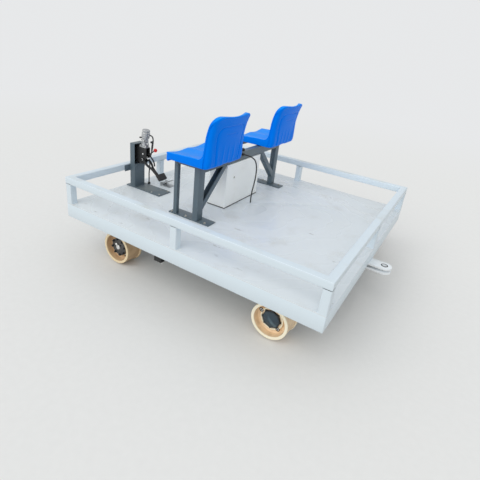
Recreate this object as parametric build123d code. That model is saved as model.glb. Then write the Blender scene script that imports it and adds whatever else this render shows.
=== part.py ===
from build123d import *
from math import atan2, cos, degrees, hypot, pi, radians, sin, tan
import os

os.makedirs("parts", exist_ok=True)

# Two-seat rail inspection trolley, millimetres. X runs along the rails and +X is the coupling end.
# -Y is the near side, Z = 0 is the floor that the wheel flanges stand on.
# Pieces are placed from the middle of the deck, and save() moves them so that the origin is the
# middle of the whole trolley's box.

# Deck and frame
deck_length = 2000
deck_width = 1890
deck_top = 435
deck_plate = 5
beam_height = 100
beam_flange = 48
beam_wall = 5.5
bolster_width = 80
bolster_wall = 5
member_flange = 45
member_wall = 5
member_x = 217

# Guard rail
rail_size = 50
rail_wall = 3
rail_height = 200

# Wheels: their outer face is the one away from the flange.
wheelbase = 1300
wheel_back_to_back = 1364
wheel_width = 132
flange_radius = 134
flange_width = 18
flange_round = 5
tread_radius = 124
tread_taper = 1.5
rim_thickness = 20
rim_round = 3
web_thickness = 16
web_depth = 52
web_blend = 9
wheel_hub_radius = 64
wheel_hub_inset = 30

# Axles, and the hub plates on the wheels' outer sides
axle_radius = 35
axle_seat_radius = 32
axle_end_proud = 10
axle_end_chamfer = 3
hub_proud = 12
hub_plate_radius = 72
hub_plate_thickness = 14
hub_bolts = 8
hub_bolt_circle = 54
hub_bolt_radius = 9
hub_bolt_height = 7
hub_cap_radius = 56
hub_lobe_radius = 15
hub_lobe_circle = 52
hub_dome_radius = 40
hub_dome_height = 9
running_gap = 0.3

# Axle hangers and bearings
bearing_y = 590
bearing_width = 60
bearing_height = 55
bearing_reach = 75
bearing_foot = 14
hanger_plate = 10
hanger_web = 10
hanger_width = 120

# Drive on the rear axle
gearbox_y = 120
gearbox_width = 90
gearbox_height = 150
gearbox_length = 250
gearbox_rear = 75
gearbox_rise = 20
gearbox_corner = 25
motor_radius = 66
motor_length = 230
motor_from_axle = 115
motor_fins = 20
motor_fin_height = 5
motor_fin_width = 4
motor_fin_margin = 28

# Brake on the front axle
disc_radius = 105
disc_thickness = 10
disc_y = 200
disc_hat_radius = 62
disc_hat_width = 34
disc_clearance = 5
caliper_length = 110
caliper_width = 60
caliper_reach = 55
caliper_back = 20
caliper_stem = 40

# Brake pipe junction under the near channel
junction_x = -125
junction_length = 60
junction_depth = 34
junction_height = 38
union_radius = 6
union_length = 16
union_pitch = 22

# Coupling
coupling_width = 100
coupling_plate = 14
coupling_gap = 18
coupling_reach = 145
coupling_root = 120
coupling_hole_radius = 17
spacer_setback = 15
collar_radius = 26
collar_height = 9

# Bench
bench_y = 43
bench_span = 1186
bench_x = -201
bench_top = 420
base_bar_length = 360
base_bar_width = 90
base_bar_thickness = 8
front_leg = 30
front_leg_wall = 2.5
front_leg_x = -324
rear_leg_web = 63
rear_leg_flange = 44
rear_leg_wall = 5
rear_leg_x = -142
brace_width = 44
brace_depth = 40
brace_wall = 4
brace_foot_height = 75
brace_gap = 2

# Seats
seat_pitch = 880
seat_width = 444
seat_front = -362
seat_depth = 347
seat_height = 345
seat_skirt = 50
seat_trim = 2
seat_front_setback = 6
seat_back_setback = 60
seat_foot_depth = 15
seat_foot_bow = 44
seat_back_edge = 17
seat_back_bow = 70
seat_rear_bow = 28
seat_pan_dip = 14
seat_wall = 5
seat_bend = 60
seat_shoulder = 95
seat_front_corner = 24
seat_waist = 14
seat_panel_width = 270
seat_panel_foot = 70
seat_panel_inset = 62
seat_panel_corner = 40
seat_panel_depth = 5
seat_ribs = 4
seat_rib_pitch = 58
seat_rib_width = 5
seat_rib_depth = 6

# Battery and control box
box_length = 160
box_width = 500
box_height = 350
box_x = -200
box_foot = 6
box_foot_inset = 8
box_corner = 4

# Pedal column
column_y = -333
column_width = 110
column_depth = 48
column_wall = 5
column_height = 365
column_cap = 6
cover_height = 205
cover_thickness = 3
clamp_thickness = 6
clamp_overhang = 55
clamp_height = 50
clamp_top = 192
pedal_base_start = 10
pedal_base_length = 365
pedal_base_width = 135
pedal_base_thickness = 8

# Brake pedal on its bracket. A reach is measured along X from the column's back.
bracket_width = 44
bracket_wall = 4
bracket_foot = 216
bracket_head = 350
bracket_reach = 138
bracket_nose = 84
pivot_reach = 116
pivot_height = 253
pivot_radius = 7
pivot_margin = 5
arm_width = 20
arm_thickness = 8
arm_clearance = 1
arm_straight = 45
arm_join = 90
pin_proud = 4
pad_reach = 294
pad_height = 155
pad_length = 55
pad_width = 85
pad_thickness = 24
pad_corner = 9

# Master cylinder and its fluid reservoir
cylinder_reach = 109
cylinder_lean = 8
cylinder_radius = 24
cylinder_length = 75
cylinder_foot = 70
cylinder_foot_height = 9
cylinder_port_radius = 9
cylinder_port_reach = 38
cylinder_port_height = 34
reservoir_radius = 32
reservoir_length = 48
reservoir_neck_radius = 26
reservoir_neck_length = 8
reservoir_cap_radius = 29
reservoir_cap_length = 12
feed_port_radius = 9
feed_port_reach = 32
feed_port_height = 111

# Red knob
knob_reach = 202
knob_offset = 20
knob_height = 340
knob_radius = 15
stem_radius = 4
stem_setback = 12
stem_drop = 50

# Accelerator pedal
accelerator_reach = 192
accelerator_offset = 183
accelerator_length = 100
accelerator_width = 70
accelerator_base = 6
ear_height = 24
ear_length = 22
ear_thickness = 8
treadle_length = 92
treadle_thickness = 8
treadle_tilt = 24
treadle_pin = 5

# Cable from the bench to the deck, and the hoses at the pedals
cable_radius = 5
cable_y = -12
cable_drop = 17
cable_hole_x = -39
cable_hole_y = 62
cable_hole_gap = 1
cable_straight = 49
gland_radius = 11
gland_height = 14
hose_radius = 5
hose_foot_reach = 57
hose_foot_offset = 103

# Derived levels
plate_bottom = deck_top - deck_plate
beam_bottom = plate_bottom - beam_height
axle_z = flange_radius
rail_bottom = deck_top + rail_height - rail_size
half_length = deck_length / 2
half_width = deck_width / 2
column_back = -half_length + rail_size + clamp_thickness
column_front = column_back + column_depth
wheel_inner = wheel_back_to_back / 2
wheel_outer = wheel_inner + wheel_width
origin_shift = -coupling_reach / 2


# A round bar that starts at the origin instead of having its middle there
END_FREE = (Align.CENTER, Align.CENTER, Align.MIN)


def save(node, shape):
    """Move a piece into the trolley's own frame and write it under its node name."""
    export_step(Pos(origin_shift, 0, 0) * shape, f"parts/{node}.step")


def block(x, y, z):
    """A box between two limits on each axis."""
    size = (x[1] - x[0], y[1] - y[0], z[1] - z[0])
    middle = ((x[0] + x[1]) / 2, (y[0] + y[1]) / 2, (z[0] + z[1]) / 2)
    return Pos(*middle) * Box(*size)


def panel(x, y):
    """A flat rectangle between two limits on each axis."""
    middle = ((x[0] + x[1]) / 2, (y[0] + y[1]) / 2)
    return Pos(*middle) * Rectangle(x[1] - x[0], y[1] - y[0])


def mid(centre, size):
    """The two limits of a size about its centre."""
    return centre - size / 2, centre + size / 2


def span(start, size):
    """The two limits of a size from its start."""
    return start, start + size


def round_bar(radius, length):
    """A round bar along Y with its middle at the origin."""
    return Rot(90, 0, 0) * Cylinder(radius, length)


def plate(points, height, z):
    """A flat plate of a plan outline, from z upwards."""
    face = make_face(Polyline(*points, close=True))
    return Pos(0, 0, z) * extrude(face, height)


def channel(web, flange, wall, length):
    """A channel along X from x = 0: web upright at y = 0, flanges towards +Y, bottom at z = 0."""
    outer = block((0, length), (0, flange), (0, web))
    return outer - block((0, length), (wall, flange), (wall, web - wall))


def square_tube(size, wall, length):
    """A square tube along X from x = 0, with its lower near corner on the axis."""
    outer = block((0, length), (0, size), (0, size))
    return outer - block((0, length), (wall, size - wall), (wall, size - wall))


# Perimeter frame and guard rail: each is a ring that is cut on the mitre into four pieces.
# columns: name, direction from the middle along X, direction along Y
SIDES = [
    ("near", 0, -1),
    ("far", 0, 1),
    ("front", -1, 0),
    ("rear", 1, 0),
]


def ring(inset, depth, z):
    """A rectangular ring set in from the deck's edge, between two levels."""
    outer = block(mid(0, deck_length - 2 * inset), mid(0, deck_width - 2 * inset), z)
    reach = 2 * (inset + depth)
    return outer - block(mid(0, deck_length - reach), mid(0, deck_width - reach), z)


def mitred(shape, side_x, side_y, depth, z):
    """The part of a ring on one side, cut at 45 degrees at both ends."""
    if side_y:
        outline = [
            (-half_length, side_y * half_width),
            (half_length, side_y * half_width),
            (half_length - depth, side_y * (half_width - depth)),
            (-half_length + depth, side_y * (half_width - depth)),
        ]
    else:
        outline = [
            (side_x * half_length, -half_width),
            (side_x * half_length, half_width),
            (side_x * (half_length - depth), half_width - depth),
            (side_x * (half_length - depth), -half_width + depth),
        ]
    return shape & plate(outline, z[1] - z[0], z[0])


beam_levels = (beam_bottom, plate_bottom)
frame_ring = ring(0, beam_flange, beam_levels)
frame_ring -= ring(beam_wall, beam_flange, (beam_bottom + beam_wall, plate_bottom - beam_wall))
rail_levels = span(rail_bottom, rail_size)
rail_ring = ring(0, rail_size, rail_levels)
rail_inside = (rail_bottom + rail_wall, rail_levels[1] - rail_wall)
rail_ring -= ring(rail_wall, rail_size - 2 * rail_wall, rail_inside)
for name, side_x, side_y in SIDES:
    save(f"frame_channel_{name}", mitred(frame_ring, side_x, side_y, beam_flange, beam_levels))
    save(f"guard_rail_{name}", mitred(rail_ring, side_x, side_y, rail_size, rail_levels))

# Posts stand on the deck plate at the corners and half way along each side.
post_x = half_length - rail_size / 2
post_y = half_width - rail_size / 2
posts = []
for place_x in (-1, 0, 1):
    for place_y in (-1, 0, 1):
        if place_x or place_y:
            along = mid(place_x * post_x, rail_size)
            across = mid(place_y * post_y, rail_size)
            inside_x = mid(place_x * post_x, rail_size - 2 * rail_wall)
            inside_y = mid(place_y * post_y, rail_size - 2 * rail_wall)
            levels = (deck_top, rail_bottom)
            posts.append(block(along, across, levels) - block(inside_x, inside_y, levels))
save("rail_posts", Compound(children=posts))

# Deck plate, with the hole that the cable goes down through
deck = block(mid(0, deck_length), mid(0, deck_width), (plate_bottom, deck_top))
cable_hole = Cylinder(cable_radius + cable_hole_gap, 4 * deck_plate)
save("deck_plate", deck - Pos(cable_hole_x, cable_hole_y, plate_bottom) * cable_hole)

# Bolsters over the axles are box sections, and the members between them are channels.
member_length = deck_width - 2 * beam_flange
for name, side in (("front", -1), ("rear", 1)):
    place = mid(side * wheelbase / 2, bolster_width)
    hollow = mid(side * wheelbase / 2, bolster_width - 2 * bolster_wall)
    bolster = block(place, mid(0, member_length), beam_levels)
    bolster -= block(hollow, mid(0, member_length), (beam_bottom + bolster_wall, plate_bottom - bolster_wall))
    save(f"bolster_{name}", bolster)
    member = channel(beam_height, member_flange, member_wall, member_length)
    member = Pos(side * member_x, -member_length / 2, beam_bottom) * Rot(0, 0, 90) * member
    save(f"cross_member_{name}", member)

# Coupling: two plates with rounded tips, held apart by a spacer under the rear channel
eye_x = half_length + coupling_reach - coupling_width / 2
coupling_start = half_length - coupling_root


def coupling_outline(z):
    """One coupling plate with its hole, its top at z."""
    body = block((coupling_start, eye_x), mid(0, coupling_width), (z - coupling_plate, z))
    tip = Pos(eye_x, 0, z - coupling_plate / 2) * Cylinder(coupling_width / 2, coupling_plate)
    hole = Pos(eye_x, 0, z) * Cylinder(coupling_hole_radius, 4 * coupling_plate)
    return body + tip - hole


coupling_low = beam_bottom - coupling_plate - coupling_gap
save("coupling_plate_upper", coupling_outline(beam_bottom))
save("coupling_plate_lower", coupling_outline(coupling_low))
spacer = block((coupling_start, half_length - spacer_setback), mid(0, coupling_width),
               span(coupling_low, coupling_gap))
save("coupling_spacer", spacer)
collar = Cylinder(collar_radius, collar_height) - Cylinder(coupling_hole_radius, 2 * collar_height)
save("coupling_collar", Pos(eye_x, 0, coupling_low - coupling_plate - collar_height / 2) * collar)


# Wheelsets
def flanged_wheel():
    """A cast wheel, its outer face at y = 0 and its flange at y = wheel_width."""
    rim_inside = tread_radius - rim_thickness
    rim = make_face(Polyline(
        (rim_inside, 0),
        (tread_radius - tread_taper, 0),
        (tread_radius, wheel_width),
        (rim_inside, wheel_width),
        close=True,
    ))
    flange = panel((rim_inside, flange_radius), (wheel_width - flange_width, wheel_width))
    web = panel((axle_seat_radius, rim_inside), span(web_depth, web_thickness))
    boss = panel((axle_seat_radius, wheel_hub_radius), (web_depth - hub_proud, wheel_width - wheel_hub_inset))
    section = rim + flange + web + boss
    corners = section.vertices()
    web_faces = (web_depth, web_depth + web_thickness)
    inside = [corner for corner in corners if corner.Y in web_faces and corner.X > axle_seat_radius]
    section = fillet(inside, web_blend)
    crest = [corner for corner in section.vertices() if corner.X == flange_radius]
    section = fillet(crest, flange_round)
    outer_edge = [corner for corner in section.vertices() if corner.Y == 0]
    return revolve(fillet(outer_edge, rim_round), Axis.Y)


def hub_plate():
    """The front wheels' bolted plate, its back at y = 0 and its face towards -Y."""
    body = Pos(0, -hub_plate_thickness / 2, 0) * round_bar(hub_plate_radius, hub_plate_thickness)
    for index in range(hub_bolts):
        head = Pos(hub_bolt_circle, -hub_plate_thickness - hub_bolt_height / 2, 0)
        hexagon = RegularPolygon(hub_bolt_radius, 6)
        head = head * Rot(90, 0, 0) * extrude(hexagon, hub_bolt_height / 2, both=True)
        body += Rot(0, 360 / hub_bolts * index, 0) * head
    return body - round_bar(axle_seat_radius, 4 * hub_plate_thickness)


def hub_cap():
    """The rear wheels' lobed cap, its back at y = 0 and its dome towards -Y."""
    body = Pos(0, -hub_plate_thickness / 2, 0) * round_bar(hub_cap_radius, hub_plate_thickness)
    lobe = Pos(hub_lobe_circle, -hub_plate_thickness / 2, 0) * round_bar(hub_lobe_radius, hub_plate_thickness)
    for index in range(hub_bolts):
        body += Rot(0, 360 / hub_bolts * index, 0) * lobe
    ball = (hub_dome_radius**2 + hub_dome_height**2) / (2 * hub_dome_height)
    dome = Pos(0, -hub_plate_thickness - hub_dome_height + ball, 0) * Sphere(ball)
    outside = block(mid(0, 2 * ball), (-hub_plate_thickness - ball, -hub_plate_thickness), mid(0, 2 * ball))
    body += dome & outside
    return body - round_bar(axle_seat_radius, 2 * (hub_plate_thickness - axle_end_proud / 2))


wheel = flanged_wheel()
hub_back = web_depth - hub_proud
# columns: name, direction along X, hub piece, how far the axle reaches past the hub piece's back
WHEELSETS = [
    ("front", -1, hub_plate(), hub_plate_thickness + axle_end_proud),
    ("rear", 1, hub_cap(), hub_plate_thickness - axle_end_proud / 2),
]
for name, side, hub, past_hub in WHEELSETS:
    centre_x = side * wheelbase / 2
    ends = round_bar(axle_seat_radius, 2 * (wheel_outer - hub_back + past_hub))
    rims = ends.edges().filter_by(GeomType.CIRCLE)
    axle = round_bar(axle_radius, 2 * wheel_inner) + chamfer(rims, axle_end_chamfer)
    save(f"axle_{name}", Pos(centre_x, 0, axle_z) * axle)
    hubs = []
    for place, turn in (("near", 0), ("far", 180)):
        spot = Pos(centre_x, 0, axle_z) * Rot(0, 0, turn) * Pos(0, -wheel_outer, 0)
        save(f"wheel_{name}_{place}", spot * wheel)
        hubs.append(spot * Pos(0, hub_back, 0) * hub)
    save(f"hub_plates_{name}", Compound(children=hubs))

# Axle hangers and bearing housings, one pair to each axle
hanger_levels = (axle_z + bearing_height, beam_bottom)


def bearing_housing():
    """A housing about the axle at the origin: rounded below, flat above for its hanger."""
    body = round_bar(bearing_height, bearing_width)
    body += block(mid(0, 2 * bearing_height), mid(0, bearing_width), (0, bearing_height))
    foot_levels = (bearing_height - bearing_foot, bearing_height)
    body += block(mid(0, 2 * bearing_reach), mid(0, bearing_width), foot_levels)
    return body - round_bar(axle_radius + running_gap, 2 * bearing_width)


def axle_hanger():
    """A welded bracket: a head plate, a foot plate and a web with a cross rib, standing at z = 0."""
    height = hanger_levels[1] - hanger_levels[0]
    foot = block(mid(0, 2 * bearing_reach), mid(0, bearing_width), (0, hanger_plate))
    head = block(mid(0, bolster_width), mid(0, hanger_width), (height - hanger_plate, height))
    web = block(mid(0, hanger_web), mid(0, bearing_width), (hanger_plate, height - hanger_plate))
    rib = block(mid(0, bolster_width), mid(0, hanger_web), (hanger_plate, height - hanger_plate))
    return foot + head + web + rib


housing = bearing_housing()
hanger = axle_hanger()
housings = []
hangers = []
for side in (-1, 1):
    for across in (-1, 1):
        spot = Pos(side * wheelbase / 2, across * bearing_y, 0)
        housings.append(spot * Pos(0, 0, axle_z) * housing)
        hangers.append(spot * Pos(0, 0, hanger_levels[0]) * hanger)
save("bearing_housings", Compound(children=housings))
save("axle_hangers", Compound(children=hangers))

# Drive on the rear axle: a gearbox round the axle, and the finned motor that it carries
drive_z = axle_z + gearbox_rise
gearbox_x = (wheelbase / 2 + gearbox_rear - gearbox_length, wheelbase / 2 + gearbox_rear)
gearbox = block(gearbox_x, mid(gearbox_y, gearbox_width), mid(drive_z, gearbox_height))
gearbox = fillet(gearbox.edges().filter_by(Axis.Y), gearbox_corner)
gearbox -= Pos(wheelbase / 2, gearbox_y, axle_z) * round_bar(axle_radius + running_gap, 2 * gearbox_width)
save("drive_gearbox", gearbox)
motor = round_bar(motor_radius, motor_length)
fin_length = motor_length - 2 * motor_fin_margin
fin = block(span(0, motor_radius + motor_fin_height), mid(0, fin_length), mid(0, motor_fin_width))
for index in range(motor_fins):
    motor += Rot(0, 360 / motor_fins * index, 0) * fin
motor_y = gearbox_y - gearbox_width / 2 - motor_length / 2
save("drive_motor", Pos(wheelbase / 2 - motor_from_axle, motor_y, drive_z) * motor)

# Brake disc on the front axle, and the caliper astride it that hangs from the front bolster
disc_place = Pos(-wheelbase / 2, disc_y, axle_z)
disc = round_bar(disc_radius, disc_thickness) + round_bar(disc_hat_radius, disc_hat_width)
save("brake_disc", disc_place * (disc - round_bar(axle_radius, 2 * disc_hat_width)))
caliper_top = disc_radius + disc_clearance + caliper_back
caliper = block(mid(0, caliper_length), mid(0, caliper_width), (caliper_top - caliper_reach, caliper_top))
caliper -= block(mid(0, 2 * caliper_length), mid(0, disc_thickness + 2 * disc_clearance),
                 (0, disc_radius + disc_clearance))
caliper += block(mid(0, caliper_stem), mid(0, caliper_stem), (caliper_top, beam_bottom - axle_z))
save("brake_caliper", disc_place * caliper)

# Junction block of the brake pipes under the near channel, with its unions
junction_y = -half_width + beam_flange / 2
junction = block(mid(junction_x, junction_length), mid(junction_y, junction_depth),
                 (beam_bottom - junction_height, beam_bottom))
union_z = beam_bottom - junction_height
for step in (-1, 0, 1):
    fitting = Cylinder(union_radius, union_length)
    junction += Pos(junction_x + step * union_pitch, junction_y, union_z - union_length / 2) * fitting
save("brake_junction", junction)

# Bench
near_frame = bench_y - bench_span / 2
far_frame = bench_y + bench_span / 2
base_levels = span(deck_top, base_bar_thickness)
leg_foot = deck_top + base_bar_thickness
bench_level = deck_top + bench_top
leg_height = bench_level - leg_foot
front_face = front_leg_x + front_leg / 2
rear_limits = mid(rear_leg_x, rear_leg_flange)
base_bars = []
front_legs = []
rear_legs = []
side_bars = []
for edge, side in ((near_frame, 1), (far_frame, -1)):
    across = sorted((edge, edge + side * base_bar_width))
    base_bars.append(block(mid(bench_x, base_bar_length), across, base_levels))
    front_y = min(edge, edge + side * front_leg)
    leg = square_tube(front_leg, front_leg_wall, leg_height)
    front_legs.append(Pos(front_face, front_y, leg_foot) * Rot(0, -90, 0) * leg)
    rear = block(rear_limits, (0, rear_leg_web), (0, leg_height))
    rear -= block((rear_limits[0], rear_limits[1] - rear_leg_wall),
                  (rear_leg_wall, rear_leg_web - rear_leg_wall), (0, leg_height))
    rear_legs.append(Pos(0, min(edge, edge + side * rear_leg_web), leg_foot) * rear)
    bar = square_tube(front_leg, front_leg_wall, rear_limits[0] - front_face)
    side_bars.append(Pos(front_face, front_y, bench_level - front_leg) * bar)
save("bench_base_bars", Compound(children=base_bars))
save("bench_front_legs", Compound(children=front_legs))
save("bench_rear_legs", Compound(children=rear_legs))
save("bench_side_bars", Compound(children=side_bars))

front_beam = square_tube(front_leg, front_leg_wall, bench_span - 2 * front_leg)
front_beam = Pos(front_face, near_frame + front_leg, bench_level - front_leg) * Rot(0, 0, 90) * front_beam
save("bench_front_beam", front_beam)
rear_beam = channel(rear_leg_web, rear_leg_flange, rear_leg_wall, bench_span - 2 * rear_leg_web)
beam_start = Pos(rear_limits[1], near_frame + rear_leg_web, bench_level - rear_leg_web)
rear_beam = beam_start * Rot(0, 0, 90) * rear_beam
save("bench_rear_beam", rear_beam)

# Braces are channels with their open side up, from the rear legs to the underside of the rear beam.
brace_rise = bench_level - rear_leg_web - leg_foot - brace_foot_height
brace_run = (bench_span - box_width) / 2 - rear_leg_web - brace_gap
brace_slope = atan2(brace_rise, brace_run)


def brace_strip(low, high, x):
    """The brace between two distances from its lower face, cut off at the leg and at the beam."""
    outline = make_face(Polyline(
        (0, low / cos(brace_slope)),
        (0, high / cos(brace_slope)),
        (brace_run - high / sin(brace_slope), brace_rise),
        (brace_run - low / sin(brace_slope), brace_rise),
        close=True,
    ))
    return Pos(x[0], 0, 0) * extrude(Plane.YZ * outline, x[1] - x[0])


brace = brace_strip(0, brace_depth, (-brace_width, 0))
brace -= brace_strip(brace_wall, brace_depth, (brace_wall - brace_width, -brace_wall))
brace_foot = leg_foot + brace_foot_height
near_brace = Pos(rear_limits[1], near_frame + rear_leg_web, brace_foot) * brace
far_brace = Pos(rear_limits[1], far_frame - rear_leg_web, brace_foot) * mirror(brace, Plane.XZ)
save("bench_braces", Compound(children=[near_brace, far_brace]))

# Battery and control box on a set-back foot
box = block(mid(box_x, box_length), mid(bench_y, box_width), (deck_top + box_foot, deck_top + box_height))
box = fillet(box.edges().filter_by(Axis.Z) + box.edges().group_by(Axis.Z)[-1], box_corner)
box += block(mid(box_x, box_length - 2 * box_foot_inset), mid(bench_y, box_width - 2 * box_foot_inset),
             span(deck_top, box_foot))
save("power_box", box)

# Seats: a moulded shell. Its edge is turned down round the pan and back round the back rest, the pan
# has two dips for the thighs, and the back is bowed forward at its edges.
# columns: place across as a share of half the width, pan dip as a share, bow as a share
SEAT_SECTIONS = [
    (-1, 0, 1),
    (-0.88, 0.25, 0.77),
    (-0.45, 1, 0.2),
    (0, 0.5, 0),
    (0.45, 1, 0.2),
    (0.88, 0.25, 0.77),
    (1, 0, 1),
]


def seat_section(skin, dip, bow):
    """Side view of the seat at one place across it, drawn in by a skin for what lies inside."""
    back_foot = seat_depth - seat_foot_depth - bow * seat_foot_bow + skin
    back_top = seat_depth + seat_back_setback
    front_top = back_top - seat_back_edge - bow * seat_back_bow + skin
    rear_shift = seat_depth if skin else -bow * seat_rear_bow
    outline = make_face(Polyline(
        (seat_front_setback + skin, -skin),
        (skin, seat_skirt - skin),
        (back_foot, seat_skirt - dip * seat_pan_dip - skin),
        (front_top, seat_height - skin),
        (back_top + rear_shift, seat_height - skin),
        (seat_depth + rear_shift, -skin),
        close=True,
    ))
    pan_bend = [corner for corner in outline.vertices() if corner.X == back_foot]
    return fillet(pan_bend, seat_bend - skin)


def seat_form(skin):
    """The seat's form, drawn in by a skin: lofted too wide, then cut to its front and plan views."""
    half = seat_width / 2 - skin
    sections = []
    for place, dip, bow in SEAT_SECTIONS:
        spot = Pos(0, place * (half + seat_trim), 0) * Rot(90, 0, 0)
        sections.append(spot * seat_section(skin, dip, bow))
    body = loft(sections)
    foot = -skin - seat_trim
    front_view = make_face(Polyline(
        (-half, foot),
        (-half, seat_skirt),
        (-half + seat_waist, seat_height - skin),
        (half - seat_waist, seat_height - skin),
        (half, seat_skirt),
        (half, foot),
        close=True,
    ))
    shoulders = front_view.vertices().group_by(Axis.Y)[-1]
    front_view = fillet(shoulders, seat_shoulder - skin)
    plan = RectangleRounded(2 * (2 * seat_depth - skin), 2 * half, seat_front_corner - skin)
    body &= extrude(Plane.YZ * front_view, 3 * seat_depth, both=True)
    return body & Pos(2 * seat_depth, 0, 0) * extrude(plan, 2 * seat_height, both=True)


def seat_panel(margin):
    """A bar along X through the back rest, of the recessed panel's outline with a margin round it."""
    panel_top = seat_height - seat_panel_inset
    height = panel_top - seat_panel_foot + 2 * margin
    outline = RectangleRounded(seat_panel_width + 2 * margin, height, seat_panel_corner + margin)
    bar = extrude(Plane.YZ * outline, 2 * seat_depth)
    return Pos(seat_depth / 2, 0, (panel_top + seat_panel_foot) / 2) * bar


recessed = seat_form(seat_panel_depth)
inside = seat_form(seat_wall)
panel_inside = seat_form(seat_panel_depth + seat_wall)
seat = (seat_form(0) - seat_panel(0)) + (recessed & seat_panel(0))
seat -= (inside - seat_panel(seat_wall)) + (panel_inside & seat_panel(seat_wall))
rib_zone = panel_inside & seat_panel(-seat_wall)
rib_zone -= seat_form(seat_panel_depth + seat_wall + seat_rib_depth)
for index in range(seat_ribs):
    rib_y = (index - (seat_ribs - 1) / 2) * seat_rib_pitch
    seat += rib_zone & block((0, 2 * seat_depth), mid(rib_y, seat_rib_width), (0, seat_height))
for name, side in (("near", -1), ("far", 1)):
    save(f"seat_{name}", Pos(seat_front, bench_y + side * seat_pitch / 2, bench_level) * seat)

# Pedal column: a channel with its open side to the driver, closed below by a cover, and clamped to the rail
near_edge = column_y - column_width / 2
base = block(span(-half_length + pedal_base_start, pedal_base_length), span(near_edge, pedal_base_width),
             span(deck_top, pedal_base_thickness))
save("pedal_base_plate", base)
column_foot = deck_top + pedal_base_thickness
column_top = deck_top + column_height
column = block((column_back, column_front), mid(column_y, column_width), (column_foot, column_top))
column -= block((column_back + column_wall, column_front), mid(column_y, column_width - 2 * column_wall),
                (column_foot, column_top))
column += block((column_back, column_front), mid(column_y, column_width), span(column_top, column_cap))
column += block((column_back - clamp_thickness, column_back), mid(column_y, column_width + 2 * clamp_overhang),
                (deck_top + clamp_top - clamp_height, deck_top + clamp_top))
save("pedal_column", column)
cover_levels = (column_foot, deck_top + cover_height)
cover = block(span(column_front, cover_thickness), mid(column_y, column_width), cover_levels)
save("pedal_column_cover", cover)

# Pedal bracket: two cheeks under a head plate, inside the column's open face, with the knob's stem
bracket_back = column_back + column_wall
bracket_front = bracket_back + bracket_reach
bracket_bottom = deck_top + bracket_foot
bracket_top = deck_top + bracket_head
pivot_x = column_back + pivot_reach
pivot_z = deck_top + pivot_height
bracket = block(span(bracket_back, bracket_wall), mid(column_y, bracket_width), (bracket_bottom, bracket_top))
bracket_roof = (bracket_top - bracket_wall, bracket_top)
bracket += block((bracket_back, bracket_front), mid(column_y, bracket_width), bracket_roof)
cheek_outline = make_face(Polyline(
    (bracket_back, bracket_bottom),
    (pivot_x - pivot_margin, bracket_bottom),
    (bracket_front, bracket_top - bracket_nose),
    (bracket_front, bracket_top),
    (bracket_back, bracket_top),
    close=True,
))
cheek = extrude(Plane.XZ * cheek_outline, bracket_wall / 2, both=True)
for side in (-1, 1):
    bracket += Pos(0, column_y + side * (bracket_width - bracket_wall) / 2, 0) * cheek
bracket -= Pos(pivot_x, column_y, pivot_z) * round_bar(pivot_radius, 2 * bracket_width)
knob_y = column_y + knob_offset
stem_foot = Vector(bracket_front - stem_setback, knob_y, deck_top + knob_height - stem_drop)
knob_centre = Vector(column_back + knob_reach, knob_y, deck_top + knob_height)
stem_line = Line(stem_foot, knob_centre)
stem = sweep(Plane(origin=stem_foot, z_dir=stem_line % 0) * Circle(stem_radius), stem_line)
save("pedal_bracket", bracket + stem)
save("red_knob", Pos(*knob_centre) * Sphere(knob_radius) - stem)

# Brake pedal: two arms on a pivot pin that draw together into one bar, and a rubber pad on its end
pad_x = column_back + pad_reach
pad_z = deck_top + pad_height
arm_run = hypot(pad_x - pivot_x, pad_z - pivot_z)
arm_slope = degrees(atan2(pivot_z - pad_z, pad_x - pivot_x))
arm_inside = bracket_width / 2 + arm_clearance
pedal = round_bar(pivot_radius, 2 * (arm_inside + arm_thickness + pin_proud))
pedal += block((arm_join, arm_run), mid(0, 2 * arm_thickness), mid(0, arm_width))
for side in (-1, 1):
    outline = [
        (0, side * arm_inside),
        (arm_straight, side * arm_inside),
        (arm_join, 0),
        (arm_join, side * arm_thickness),
        (arm_straight, side * (arm_inside + arm_thickness)),
        (0, side * (arm_inside + arm_thickness)),
    ]
    pedal += plate(outline, arm_width, -arm_width / 2)
    eye = round_bar(arm_width / 2, arm_thickness)
    pedal += Pos(0, side * (arm_inside + arm_thickness / 2), 0) * eye
pedal_place = Pos(pivot_x, column_y, pivot_z) * Rot(0, arm_slope, 0)
save("brake_pedal", pedal_place * pedal)
pad = block(span(arm_run, pad_thickness), mid(0, pad_width), mid(0, pad_length))
pad = fillet(pad.edges().filter_by(Axis.X) + pad.faces().sort_by(Axis.X)[-1].edges(), pad_corner)
save("brake_pedal_pad", pedal_place * pad)

# Master cylinder and its fluid reservoir stand on the bracket, leaning to the driver.
cylinder_x = column_back + cylinder_reach
cylinder_place = Pos(cylinder_x, column_y, bracket_top) * Rot(0, cylinder_lean, 0)
cylinder = Cylinder(cylinder_radius, 2 * cylinder_length)
port = Rot(0, 90, 0) * Cylinder(cylinder_port_radius, 2 * cylinder_port_reach)
port = Pos(0, 0, cylinder_port_height) * port
cylinder = cylinder_place * (cylinder + port)
cylinder_limits = block(mid(cylinder_x, 2 * cylinder_length), mid(column_y, 2 * cylinder_length),
                        span(bracket_top, 2 * cylinder_length))
cylinder &= cylinder_limits
flange_levels = span(bracket_top, cylinder_foot_height)
flange = block(mid(cylinder_x, cylinder_foot), mid(column_y, bracket_width), flange_levels)
save("master_cylinder", cylinder + flange)
reservoir = Pos(0, 0, cylinder_length + reservoir_length / 2) * Cylinder(reservoir_radius, reservoir_length)
neck_z = cylinder_length + reservoir_length + reservoir_neck_length / 2
reservoir += Pos(0, 0, neck_z) * Cylinder(reservoir_neck_radius, reservoir_neck_length)
cap_z = cylinder_length + reservoir_length + reservoir_neck_length + reservoir_cap_length / 2
reservoir += Pos(0, 0, cap_z) * Cylinder(reservoir_cap_radius, reservoir_cap_length)
feed_port = Rot(0, 90, 0) * Cylinder(feed_port_radius, feed_port_reach, align=END_FREE)
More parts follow.
